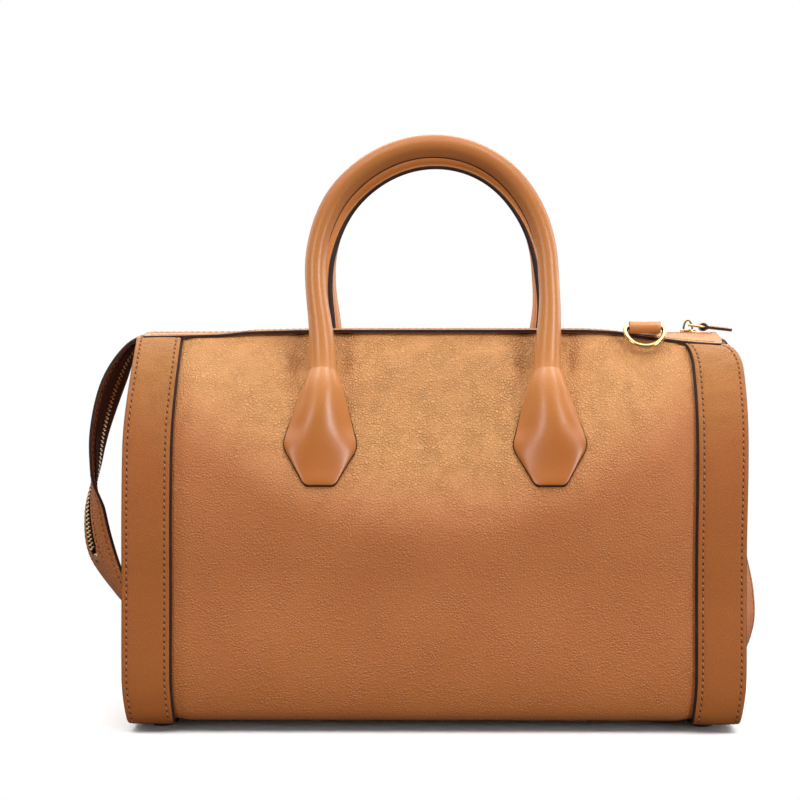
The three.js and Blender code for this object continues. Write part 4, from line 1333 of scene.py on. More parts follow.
@dataclass(frozen=True)
class TailRun:
    """The run of one strip end: level to its bend, then down the end of the bag to where it is sewn on.

    Rows give the distance off the end panel, the share of the zip's height, and the twist in radians.
    """

    form: BagForm
    end: End
    rows: tuple[Triple, ...]
    slot_run: float
    strip_end_inset: float = 7.0
    end_inset: float = 6.0
    shoulder: float = 2.0
    half_width: float = 20.0
    stop_room: float = 6.5
    bow: float = 0.0
    edge_drop: float = 1.2
    edge_drop_run: float = 20.0

    @property
    def top(self) -> float:
        """Height of the strips' face beside the zip."""
        return float(self.form.strip_top(self.form.slot_half))

    @cached_property
    def path(self) -> tuple[Array, Array]:
        """Distances along the run, and its points as reach, height and twist."""
        form = self.form
        bend = np.array([form.half_length - self.strip_end_inset, self.top, 0])
        seat = form.half_length - self.end_inset + form.gap + form.strip_wall
        knots = [bend] + [np.array([seat + off, share * self.top, twist]) for off, share, twist in self.rows]
        knots = [2 * knots[0] - knots[1], *knots, 2 * knots[-1] - knots[-2]]
        level = np.linspace([form.settle_from, self.top, 0], bend, 64)
        spans = [self._span(knots[k : k + 4]) for k in range(len(knots) - 3)]
        points = np.vstack([level, *[span[1:] for span in spans]])
        return run_lengths(points), points

    @staticmethod
    def _span(knots: list[Array]) -> Array:
        """Points between the two middle knots of four, on a smooth curve through them all."""
        before, first, last, after = knots
        gaps = [max(math.dist(a, b), 1e-6) ** 0.5 for a, b in zip(knots, knots[1:])]
        start = (first - before) / gaps[0] - (last - before) / (gaps[0] + gaps[1]) + (last - first) / gaps[1]
        stop = (last - first) / gaps[1] - (after - first) / (gaps[1] + gaps[2]) + (after - last) / gaps[2]
        start, stop = start * gaps[1], stop * gaps[1]
        t = np.linspace(0, 1, 40)[:, None]
        bow = (-3 * first + 3 * last - 2 * start - stop) * t**2 + (2 * first - 2 * last + start + stop) * t**3
        return first + start * t + bow

    @property
    def length(self) -> float:
        """Length of the whole run."""
        return float(self.path[0][-1])

    @property
    def bend(self) -> float:
        """Distance to the bend."""
        return self.form.half_length - self.strip_end_inset - self.form.settle_from

    @property
    def slot_end(self) -> float:
        """Distance to the end of the slot."""
        return self.bend + self.slot_run

    @property
    def chain_end(self) -> float:
        """Distance to the end of the chain."""
        return self.slot_end - self.stop_room

    def at(self, distance: Array) -> Array:
        """Reach, height and twist at distances along the run."""
        lengths, points = self.path
        return np.stack([np.interp(distance, lengths, c) for c in points.T], axis=-1)

    def axes(self, distance: Array) -> tuple[Array, Array, Array, Array]:
        """Centre, direction along, direction across and outward normal at distances along the run."""
        spot = self.at(distance)
        ahead = self.at(distance + self.shoulder) - self.at(distance - self.shoulder)
        flat = unit(ahead[..., :2])
        none = np.zeros_like(spot[..., 0])
        sign = self.end.value
        outward = np.stack([-sign * flat[..., 1], none, flat[..., 0]], axis=-1)
        along = np.stack([sign * flat[..., 0], none, flat[..., 1]], axis=-1)
        back = np.array([0.0, 1.0, 0.0])
        cos, sin = np.cos(spot[..., 2])[..., None], np.sin(spot[..., 2])[..., None]
        centre = np.stack([sign * spot[..., 0], none, spot[..., 1]], axis=-1)
        return centre, along, back * cos - outward * sin, outward * cos + back * sin

    def edge(self, distance: Array) -> Array:
        """Half of the strip's width."""
        wide = self.form.strip_half_depth
        return wide + (self.half_width - wide) * ease(distance, self.bend - 0.6, self.bend + 2.2)

    def slot(self, distance: Array) -> Array:
        """Half of the slot's width, which ends in a point."""
        close = np.clip((self.slot_end - distance) / 11, 0, 1) ** 0.7
        if self.slot_run == 0:
            close = np.clip((self.slot_end + 0.5 - distance) / 2, 0, 1) ** 0.5
        return 0.2 + (self.form.slot_half - 0.2) * close

    def points(self, distance: Array, across: Array, rise: Array | float) -> Array:
        """Points of the strip, sloping to the settled edge while it lies on the mouth.

        Args:
            distance: Distances along the run.
            across: Distances from its middle, positive to the back.
            rise: Distance outward from its face.

        Returns:
            Points in the shape that the three give together.
        """
        distance, across, rise = np.broadcast_arrays(np.asarray(distance, float), across, rise)
        centre, _, width, normal = self.axes(distance)
        rise = rise - self.bow * ease(-self.at(distance)[..., 2], 0.05, 0.35) * across**2
        points = centre + width * across[..., None] + normal * rise[..., None]
        form = self.form
        beyond = np.maximum(np.abs(across) - form.slot_half, 0) / (form.strip_half_depth - form.slot_half)
        drop = form.mouth_drop(points[..., 0]) + self.edge_drop * ease(distance, 0, self.edge_drop_run)
        fall = form.strip_top(form.strip_half_depth) - drop - self.top
        points[..., 2] += fall * beyond * (1 - ease(distance, self.bend - 1, self.bend + 7))
        return points


LEFT_TAIL = (
    (7.5, 0.966, 0.05),
    (18.5, 0.876, 0.2),
    (27.5, 0.744, 0.12),
    (31, 0.629, -0.07),
    (34.5, 0.523, -0.4),
    (30.5, 0.408, -0.52),
    (16.5, 0.3, -0.28),
    (3.2, 0.236, -0.05),
    (0.6, 0.205, 0),
    (0.4, 0.18, 0),
)
RIGHT_TAIL = (
    (3.5, 0.957, 0),
    (7.5, 0.877, 0),
    (9.5, 0.665, -0.08),
    (12.2, 0.43, -0.3),
    (15.6, 0.3, -0.42),
    (16.8, 0.215, -0.36),
    (12.5, 0.135, -0.2),
    (3.2, 0.098, -0.05),
    (0.6, 0.078, 0),
    (0.4, 0.06, 0),
)


SHOULDER = np.array([0.0, 0.15, 0.55])
SHOULDER_FALL = np.array([0.75, 0.22, 0.0])
SHOULDER_WIDTH = 2.0


@dataclass
class ZipLine:
    """The zip over the mouth: leather strips, tape, teeth and stops, with the tails at both ends."""

    form: BagForm
    finishes: Finishes
    sewing: Sewing
    tape_half: float = 13.0
    tape_edge: float = 0.2
    tape_wall: float = 0.8
    pitch: float = 2.5
    tooth: Triple = (1.15, 3.4, 2.0)
    tail_tooth: Triple = (1.75, 3.6, 4.2)
    tooth_shift: float = 0.9
    teeth_drop: float = 0.2
    stop_length: float = 4.5
    stop_half: float = 2.6
    stitch_inset: float = 3.0
    bend_length: float = 42.0
    hem: float = 7.0
    sewn: float = 1.0

    def __post_init__(self) -> None:
        """Lays out both tails and the tree for the teeth."""
        self.tails = {
            End.LEFT: TailRun(self.form, End.LEFT, LEFT_TAIL, 150.0, bow=0.012),
            End.RIGHT: TailRun(self.form, End.RIGHT, RIGHT_TAIL, 0.0),
        }
        self.tree = RowTree(Motif.TOOTH)

    @property
    def tape_drops(self) -> Pair:
        """Distances of the tape's two faces below the strips' face."""
        drop = self.form.strip_wall + self.form.gap
        return drop, drop + self.tape_wall

    @staticmethod
    def across(outer: Array, inner: Array, count: int) -> tuple[Array, Array]:
        """Places across a strap with rounded shoulders.

        Args:
            outer: Distance of its outer edge from the middle, for each row.
            inner: Distance of its inner edge.
            count: Places between the shoulders.

        Returns:
            Places, rows by columns, and how far the face falls at each column.
        """
        outer, inner = outer[:, None], inner[:, None]
        share = np.linspace(0, 1, count)[None, :]
        span = inner + SHOULDER_WIDTH - outer + SHOULDER_WIDTH
        middle = (outer - SHOULDER_WIDTH) + span * share
        places = np.hstack([outer - SHOULDER, middle, inner + SHOULDER[::-1]])
        return places, np.hstack([SHOULDER_FALL, np.zeros(count), SHOULDER_FALL[::-1]])

    def tape(self, name: str, faces: list[Array], flat: Array, hold: Hold, node: str) -> None:
        """Lays the tape.

        Args:
            name: The piece's name.
            faces: Grids of its upper and lower face.
            flat: Places on the flat cloth.
            hold: What it moves with.
            node: CAD node that it replaces.
        """
        skin = Skin().sheet(*faces, parts=(0, 0, 0), flat=flat)
        attach(skin.make(name, self.finishes.tape), Slot.TAPE, hold, node)

    def flap_half(self, side: Side, end: End) -> None:
        """Half of one hinged strip, with its fixed end and the hem sewn to the panel made as separate pieces.
        """
        form = self.form
        reach = np.linspace(0, form.settle_from, 46)[:, None]
        x = end.value * reach
        where = f"{side.word}_{end.word}"
        edge, crease = form.strip_half_depth, form.strip_half_depth - self.hem
        moving = Body(f"{side.word}_flap")
        fixed, free = end.value * form.settle_from, end.value * (form.settle_from - self.bend_length)
        tip = form.mouth_height
        lift = np.array([-end.value / self.bend_length, -side.value / (self.hem - self.sewn)])
        corner = np.array([fixed, side.value * crease])
        holds = {
            "strip": Bend(moving, (fixed, 0, tip), (free, 0, tip)),
            "hem": Bend(moving, (0, side.value * (edge - self.sewn), tip), (0, side.value * crease, tip)),
            "hem_end": Bend(moving, (*corner, tip), (*(corner + lift / (lift @ lift)), tip)),
        }
        hem = edge - np.hstack([SHOULDER, np.arange(1, self.hem + 0.5)])
        flat_part = np.linspace(crease, form.slot_half + SHOULDER_WIDTH, 8)
        flap = np.hstack([flat_part, form.slot_half + SHOULDER[::-1]])
        hem_fall = np.hstack([SHOULDER_FALL, np.zeros(len(hem) - len(SHOULDER))])
        flap_fall = np.hstack([np.zeros(len(flat_part)), SHOULDER_FALL[::-1]])
        turned = int(np.argmin(np.abs(x[:, 0] - free)))
        outer_seam, inner_seam = edge - self.stitch_inset, form.slot_half + self.stitch_inset
        parts = (
            ("strip", slice(None), flap, flap_fall, -1, inner_seam),
            ("hem", slice(0, turned + 1), hem, hem_fall, 0, outer_seam),
            ("hem_end", slice(turned, None), hem, hem_fall, 0, outer_seam),
        )

        def at(rows: slice, depth: Array, rise: Array) -> Array:
            """Points of some rows at depths, above the strip's face."""
            beyond = (depth - form.slot_half) / (edge - form.slot_half)
            height = form.strip_top(depth) - form.mouth_drop(x[rows]) * beyond + rise
            return gather(x[rows], side.value * depth, height)

        finishes = (self.finishes.grain, self.finishes.paint, self.finishes.inner)
        for word, rows, places, fall, painted_edge, seam in parts:
            painted = np.zeros((len(x[rows]) - 1, len(places) - 1), bool)
            painted[:, painted_edge] = True
            outer, inner = at(rows, places, -fall), at(rows, places, 0.5 * fall - form.strip_wall)
            skin = Skin().sheet(outer, inner, painted=painted, parts=(0, 2, 1))
            attach(skin.make(f"{where}_{word}", *finishes), Slot.GRAIN, holds[word], f"{side.word}_zip_strip")
            seams = [SeamLine(at(rows, np.array([seam]), np.zeros(1))[:, 0], UP)]
            self.sewing.sew(f"{where}_{word}", seams, holds[word], Slot.GRAIN)

        level = float(form.strip_top(form.slot_half))
        tape_y = np.linspace(self.tape_edge, self.tape_half, 7)[None, :]
        faces = [gather(x, side.value * tape_y, level - drop) for drop in self.tape_drops]
        self.tape(f"{where}_tape", faces, gather(tape_y, reach), holds["strip"], f"{side.word}_zip_tape")

        phase = 0.25 if side is Side.FRONT else 0.75
        spots = end.value * (np.arange(int(form.settle_from // self.pitch)) + phase) * self.pitch
        height = level - self.teeth_drop - self.tooth[2] / 2
        points = gather(spots, side.value * self.tooth_shift, height)
        marks = (points, *(np.tile(axis, (len(spots), 1)) for axis in ([1.0, 0, 0], UP)))
        teeth = self.tree.lay(f"{where}_teeth", marks, self.tooth, self.finishes.gold)
        attach(teeth, Slot.GOLD, holds["strip"], f"{side.word}_zip_teeth")

    def tail(self, end: End) -> None:
        """One fixed strip end with its tail."""
        run = self.tails[end]
        form = self.form
        steps = [
            np.linspace(0, run.bend - 4, 22),
            np.arange(run.bend - 4, run.bend + 8, 0.5),
            np.linspace(run.bend + 8, run.length, 90),
        ]
        if run.slot_run:
            steps.append(np.linspace(run.slot_end - 12, run.slot_end, 25))
        distance = np.unique(np.round(np.concatenate([*steps, [run.slot_end]]), 4))
        places, fall = self.across(run.edge(distance), run.slot(distance), 9)
        open_slot = 1 - ease(distance, run.slot_end - 3, run.slot_end)
        falls = np.tile(fall, (len(distance), 1))
        falls[:, -3:] *= open_slot[:, None]
        columns = np.concatenate([-places, places[:, ::-1]], axis=1)
        falls = np.concatenate([falls, falls[:, ::-1]], axis=1)
        half = places.shape[1]
        before = distance[:-1] < run.slot_end - 1e-3
        present = np.ones((len(distance) - 1, 2 * half - 1), bool)
        present[before, half - 1] = False
        painted = np.zeros_like(present)
        painted[:, [0, -1]] = True
        painted[np.ix_(before, [half - 2, half])] = True
        outer = run.points(distance[:, None], columns, -falls)
        inner = run.points(distance[:, None], columns, -form.strip_wall + 0.5 * falls)
        skin = Skin().sheet(outer, inner, present=present, painted=painted, parts=(0, 2, 1))
        finishes = (self.finishes.grain, self.finishes.paint, self.finishes.inner)
        name = f"{end.word}_zip_tail"
        attach(skin.make(f"{name}_strap", *finishes), Slot.GRAIN, Body.BAG, name)

        taped = distance[distance <= run.slot_end + 1e-3][:, None]
        tape_y = np.linspace(-self.tape_half, self.tape_half, 13)[None, :]
        faces = [run.points(taped, tape_y, -drop) for drop in self.tape_drops]
        self.tape(f"{end.word}_tape", faces, gather(tape_y, taped), Body.BAG, f"{end.word}_zip_tape")
        self.tail_chain(run)
        self.tail_stitches(run)

    def tail_chain(self, run: TailRun) -> None:
        """The closed chain of a strip end, and the stop that ends it."""
        word = run.end.word
        hanging = run.bend + 9
        level = (0.0, min(hanging, run.chain_end), self.tooth, self.tooth_shift, self.teeth_drop)
        spans = [("teeth", *level, [f"{word}_zip_teeth"])]
        if run.slot_run:
            spans.append(("tail_teeth", hanging, run.chain_end, self.tail_tooth, 1.75, -0.3, []))
        for kind, start, stop, size, shift, drop, nodes in spans:
            rows = []
            for side, phase in ((-1, 0.25), (1, 0.75)):
                spots = start + (np.arange(int((stop - start) // self.pitch)) + phase) * self.pitch
                _, along, _, normal = run.axes(spots)
                rows.append((run.points(spots, side * shift, -drop - size[2] / 2), along, normal))
            marks = tuple(np.vstack([row[k] for row in rows]) for k in range(3))
            teeth = self.tree.lay(f"{word}_{kind}", marks, size, self.finishes.gold)
            attach(teeth, Slot.GOLD, Body.BAG, *nodes)

        start = run.chain_end + self.form.gap
        ring = rounded_ring(self.stop_half, self.tooth[2] / 2, 16, 0.45)
        rings = []
        for share, size in ((0, 0.72), (0.06, 0.93), (0.16, 1), (0.84, 1), (0.94, 0.93), (1, 0.72)):
            across, rise = ring.T * size
            spot = np.full(len(ring), start + share * self.stop_length)
            rings.append(run.points(spot, across, rise - self.teeth_drop - self.tooth[2] / 2))
        skin = Skin().rod(np.array(rings))
        attach(skin.make(f"{word}_stop", self.finishes.gold), Slot.GOLD, Body.BAG, f"{word}_zip_stop")

    def tail_stitches(self, run: TailRun) -> None:
        """Stitches along the edges and the slot of a strip end, seen on both faces."""
        form = self.form
        inset = self.stitch_inset
        level = (0.5, run.bend - 3.5)
        fall = (run.bend + 4, run.length - 3)
        slotted = (0.5, run.slot_end - 2 if run.slot_run else run.bend - 2)
        rows = [
            (form.strip_half_depth - inset, level),
            (run.half_width - inset, fall),
            (form.slot_half + inset, slotted),
        ]
        lines = []
        for depth, (start, stop) in rows:
            distance = np.linspace(start, stop, max(12, int((stop - start) / 1.5)))
            _, _, _, normal = run.axes(distance)
            for side in (-1, 1):
                lines.append(SeamLine(run.points(distance, side * depth, 0.02), normal))
                below = start > run.bend or depth < run.half_width
                if below:
                    under = run.points(distance, side * depth, -form.strip_wall - 0.02)
                    lines.append(SeamLine(under, -normal))
        self.sewing.sew(f"{run.end.word}_tail", lines, Body.BAG, Slot.GRAIN)

    def build(self) -> None:
        """Makes every strip, tail and chain."""
        for side in Side:
            for end in End:
                self.flap_half(side, end)
        for end in End:
            self.tail(end)


def rounded_ring(half_width: float, half_height: float, sides: int, square: float = 0.5) -> Array:
    """A flat ring between an ellipse (square 1) and a rectangle (square near 0), as width and height."""
    turn = full_turn(sides)
    wide = np.sign(np.cos(turn)) * np.abs(np.cos(turn)) ** square
    tall = np.sign(np.sin(turn)) * np.abs(np.sin(turn)) ** square
    return np.stack([half_width * wide, half_height * tall], axis=1)


def wire(line: Array, up: Array, radius: float, sides: int = 14) -> Array:
    """Rings of a round wire along a closed line that lies in the plane square to up."""
    along = unit(np.roll(line, -1, axis=0) - np.roll(line, 1, axis=0))
    across = np.cross(along, up)
    turn = full_turn(sides)
    return (
        line[:, None, :]
        + radius * np.cos(turn)[None, :, None] * across[:, None, :]
        + radius * np.sin(turn)[None, :, None] * up[None, None, :]
    )


def arc(centre: Pair, radii: Pair, start: float, stop: float, steps: int) -> Array:
    """Points of an elliptic arc, angles in degrees."""
    turn = np.radians(np.linspace(start, stop, steps))
    return np.stack([centre[0] + radii[0] * np.cos(turn), centre[1] + radii[1] * np.sin(turn)], axis=1)


def folded_outline(radius: float, half_wall: float, length: float, fillet: float) -> Array:
    """Outline of leather folded round a bar at the origin, with a flat tongue along the first axis."""
    lean = math.asin((half_wall + fillet) / (radius + fillet))
    back = (radius + fillet) * math.cos(lean)
    nose = arc((0, 0), (radius, radius), math.degrees(lean), 360 - math.degrees(lean), 33)
    upper = arc((back, half_wall + fillet), (fillet, fillet), 270, 180 + math.degrees(lean), 8)
    tip = np.array([[length, -half_wall + 0.3], [length, half_wall - 0.3], [length - 0.3, half_wall]])
    along = np.linspace(length - 1.5, back + 0.5, 8)
    top = np.stack([along, np.full(8, half_wall)], axis=1)
    low = np.stack([along[::-1], np.full(8, -half_wall)], axis=1)
    lower = upper[::-1] * [1, -1]
    return np.vstack([nose, lower, low, [[length - 0.3, -half_wall]], tip, top, upper])


def extruded(outline: Array, half_width: float, shoulder: float) -> tuple[Array, Array]:
    """An outline pulled to both sides, with softened edges.

    Args:
        outline: Points in a plane.
        half_width: Half of the width.
        shoulder: Size of the softened edge.

    Returns:
        Rings as points in the plane, and each ring's place across.
    """
    along = unit(np.roll(outline, -1, axis=0) - np.roll(outline, 1, axis=0))
    inward = np.stack([-along[:, 1], along[:, 0]], axis=1)
    (x, y), (next_x, next_y) = outline.T, np.roll(outline, -1, axis=0).T
    if (x * next_y - y * next_x).sum() < 0:
        inward = -inward
    steps = ((0.0, 1.0), (0.3, 0.3), (1.0, 0.0))
    insets = [shoulder * inset for _, inset in steps]
    places = [-half_width + shoulder * step for step, _ in steps]
    middle = np.linspace(-half_width + shoulder, half_width - shoulder, 9)[1:-1]
    insets = [*insets, *[0.0] * len(middle), *insets[::-1]]
    places = [*places, *middle, *[-p for p in places[::-1]]]
    rings = np.array([outline + inward * inset for inset in insets])
    return rings, np.array(places)


@dataclass
class ZipPull:
    """Slider, wire link and leather pull."""

    form: BagForm
    finishes: Finishes
    sewing: Sewing
    place: float = 152.0
    half_length: float = 4.5
    half_width: float = 4.1
    plate: float = 1.5
    lip: float = 1.2
    bridge_height: float = 6.0
    bridge_length: float = 6.4
    bridge_wall: float = 1.2
    bridge_width: float = 2.0
    link_wire: float = 1.4
    link_half: float = 5.0
    link_length: float = 8.0
    pull_length: float = 17.0
    pull_wall: float = 1.6
    droop: float = math.radians(6.5)

    @property
    def face(self) -> float:
        """Height of the slider's upper plate."""
        return float(self.form.strip_top(self.form.slot_half)) - 0.2 + self.form.gap + self.plate

    def plate_rings(self, low: float, high: float) -> Array:
        """A plate with softened edges."""
        rings = []
        for height, inset in ((0, 0.45), (0.12, 0.12), (0.25, 0), (0.72, 0), (0.9, 0.25), (1, 0.8)):
            ring = rounded_ring(self.half_length - inset, self.half_width - inset, 32, 0.62)
            taper = 1 - 0.09 * ring[:, 0] / self.half_length
            rings.append(gather(self.place + ring[:, 0], ring[:, 1] * taper, low + height * (high - low)))
        return np.array(rings)

    def slider(self) -> None:
        """The slider's upper plate, lips and bridge, and its lower plate."""
        skin = Skin().rod(self.plate_rings(self.face - self.plate, self.face))
        tape_top = float(self.form.strip_top(self.form.slot_half)) - self.form.strip_wall - self.form.gap
        low, high = tape_top + self.form.gap, self.face - self.plate + 0.4
        ring = rounded_ring(self.lip / 2, (high - low) / 2, 12, 0.4)
        for side in (-1, 1):
            rings = []
            for share, size in ((-1, 0.8), (-0.92, 1), (0.92, 1), (1, 0.8)):
                x = self.place + share * (self.half_length - 0.2)
                y = side * (self.half_width - self.lip / 2 - 0.05) + ring[:, 0] * size
                rings.append(gather(x, y, (low + high) / 2 + ring[:, 1] * size))
            skin.rod(np.array(rings))
        half, rise, wall = self.bridge_length / 2, self.bridge_height, self.bridge_wall
        bow = arc((0, -0.4), (half - wall / 2, rise - wall / 2 + 0.4), 180, 0, 25)
        section = rounded_ring(wall / 2, self.bridge_width / 2, 10, 0.5)
        rings = [
            gather(self.place + x - dz * section[:, 0], section[:, 1], self.face + z + dx * section[:, 0])
            for (x, z), (dx, dz) in zip(bow, unit(np.gradient(bow, axis=0)))
        ]
        skin.rod(np.array(rings))
        attach(skin.make("slider_body", self.finishes.gold, crease=40), Slot.GOLD, Body.SLIDER, "zip_slider")
        bottom, top = node_box("slider_lower_plate")
        lower = Skin().rod(self.plate_rings(bottom[2], top[2])[::-1])
        piece = lower.make("slider_under_plate", self.finishes.gold, crease=40)
        attach(piece, Slot.GOLD, Body.SLIDER, "slider_lower_plate")

    def hang(self, points: Array) -> Array:
        """Points along the pull, across it and above it, turned to hang from the slider's bridge."""
        pivot = self.place + self.bridge_length / 2 - self.bridge_wall - self.link_wire / 2 - self.form.gap
        level = self.face + (self.bridge_height - self.bridge_wall) / 2
        cos, sin = math.cos(self.droop), math.sin(self.droop)
        along, across, up = points[..., 0], points[..., 1], points[..., 2]
        return np.stack([pivot + along * cos + up * sin, across, level - along * sin + up * cos], axis=-1)

    def link(self) -> None:
        """The wire loop between slider and pull."""
        half, length, corner = self.link_half, self.link_length, self.link_wire
        far, wide = length - corner, half - corner
        middles = ((far, wide), (corner, wide), (corner, -wide), (far, -wide))
        arcs = [arc(spot, (corner, corner), 90 * k, 90 * k + 90, 7) for k, spot in enumerate(middles)]
        line = gather(*np.vstack(arcs).T, 0.0)
        skin = Skin().rod(self.hang(wire(line, UP, self.link_wire / 2, 12)), closed=True)
        attach(skin.make("link_wire", self.finishes.gold), Slot.GOLD, Body.PULL, "pull_link")

    def pull(self) -> None:
        """The leather pull, folded round the link and sewn."""
        bore = self.link_wire / 2 + self.form.gap
        half_width = self.link_half - self.link_wire - self.form.gap
        outline = folded_outline(bore + self.pull_wall, self.pull_wall / 2 + 0.15, self.pull_length, 2.6)
        rings, places = extruded(outline, half_width, 0.35)
        points = gather(self.link_length + rings[..., 0], places[:, None], rings[..., 1])
        cut = outline[:, 0] > self.pull_length - 1.0
        skin = Skin().rod(self.hang(points), painted=cut & np.roll(cut, -1), parts=(0, 1))
        piece = skin.make("pull_leather", self.finishes.smooth, self.finishes.paint)
        attach(piece, Slot.SMOOTH, Body.PULL, "pull_tab")
        lines = []
        run = np.linspace(self.link_length + 4.5, self.link_length + self.pull_length - 1.6, 12)
        for side in (-1, 1):
            row = gather(run, side * (half_width - 1.1), self.pull_wall / 2 + 0.17)
            lines.append(SeamLine(self.hang(row), self.hang(row + UP) - self.hang(row)))
        small = Sewing(self.finishes, 2.4, 0.1, (1.7, 0.55, 0.4), (0.7, 0.6, 0.25))
        small.sew("pull", lines, Body.PULL, Slot.SMOOTH)

    def build(self) -> None:
        """Makes the slider, link and pull."""
        self.slider()
        self.link()
        self.pull()


@dataclass
class RingFitting:
    """D-ring that lies forward on the shoulder, and the leather tab that holds it."""

    form: BagForm
    finishes: Finishes
    place: float = 122.5
    width: float = 25.4
    wire: float = 3.0
    reach: float = 12.5
    corner: float = 2.0
    lean: float = math.radians(60)
    tab_width: float = 18.0
    tab_wall: float = 1.85
    tab_length: float = 18.0

    @property
    def tab_radius(self) -> float:
        """Outer radius of the tab's fold."""
        return self.wire / 2 + self.form.gap + self.tab_wall

    @property
    def depth(self) -> float:
        """Distance of the ring's bar from the bag's middle plane."""
        return self.form.strip_half_depth + self.form.gap + self.tab_radius

    @property
    def height(self) -> float:
        """Height of the ring's bar."""
        return float(self.form.strip_top(self.form.strip_half_depth)) + self.form.gap + self.tab_wall / 2

    def ring(self) -> None:
        """The ring: a straight bar and a half-oval bow."""
        half = (self.width - self.wire) / 2
        corner = self.corner
        parts = [
            np.stack([np.linspace(corner - half, half - corner, 17), np.zeros(17)], axis=1)[1:-1],
            arc((half - corner, corner), (corner, corner), -90, 0, 9),
            arc((0, corner), (half, self.reach - corner), 0, 180, 61)[1:-1],
            arc((corner - half, corner), (corner, corner), 180, 270, 9),
        ]
        flat = np.vstack(parts)
        turn = math.pi + self.lean
        up = np.array([0, -math.sin(turn), math.cos(turn)])
        y, z = -self.depth + flat[:, 1] * math.cos(turn), self.height + flat[:, 1] * math.sin(turn)
        line = gather(self.place + flat[:, 0], y, z)
        skin = Skin().rod(wire(line, up, self.wire / 2, 18), closed=True)
        attach(skin.make("ring_wire", self.finishes.gold), Slot.GOLD, Body.RING, "d_ring")

    def sag(self, x: Array, run: Array) -> Array:
        """How far the tab sinks with the settled strip."""
        return self.form.mouth_drop(x) * ease(run, 1, 9) * (1 - 0.45 * ease(run, 8, 24))

    def tab(self) -> None:
        """The tab: leather folded round the bar and sewn to the strip."""
        outline = folded_outline(self.tab_radius, self.tab_wall / 2, self.tab_radius + self.tab_length, 4.0)
        rings, places = extruded(outline, self.tab_width / 2, 0.45)
        x = self.place + np.broadcast_to(places[:, None], rings.shape[:2])
        along, above = rings[..., 0], rings[..., 1]
        points = gather(x, -self.depth + along, self.height + above - self.sag(x, along))
        skin = Skin().rod(points, parts=(0, 1))
        piece = skin.make("ring_tab_leather", self.finishes.smooth, self.finishes.paint)
        attach(piece, Slot.SMOOTH, Body.BAG, "d_ring_tab")
        lines = []
        run = np.linspace(4.5, self.tab_radius + self.tab_length - 2.0, 14)
        for side in (-1, 1):
            x = np.full(14, self.place + side * (self.tab_width / 2 - 1.8))
            height = self.height + self.tab_wall / 2 + 0.05 - self.sag(x, run)
            lines.append(SeamLine(gather(x, run - self.depth, height), UP))
        small = Sewing(self.finishes, 2.8, 0.12, (2.0, 0.7, 0.5), (0.85, 0.75, 0.3))
        small.sew("ring_tab", lines, Body.BAG, Slot.SMOOTH)

    def build(self) -> None:
        """Makes ring and tab."""
        self.ring()
        self.tab()


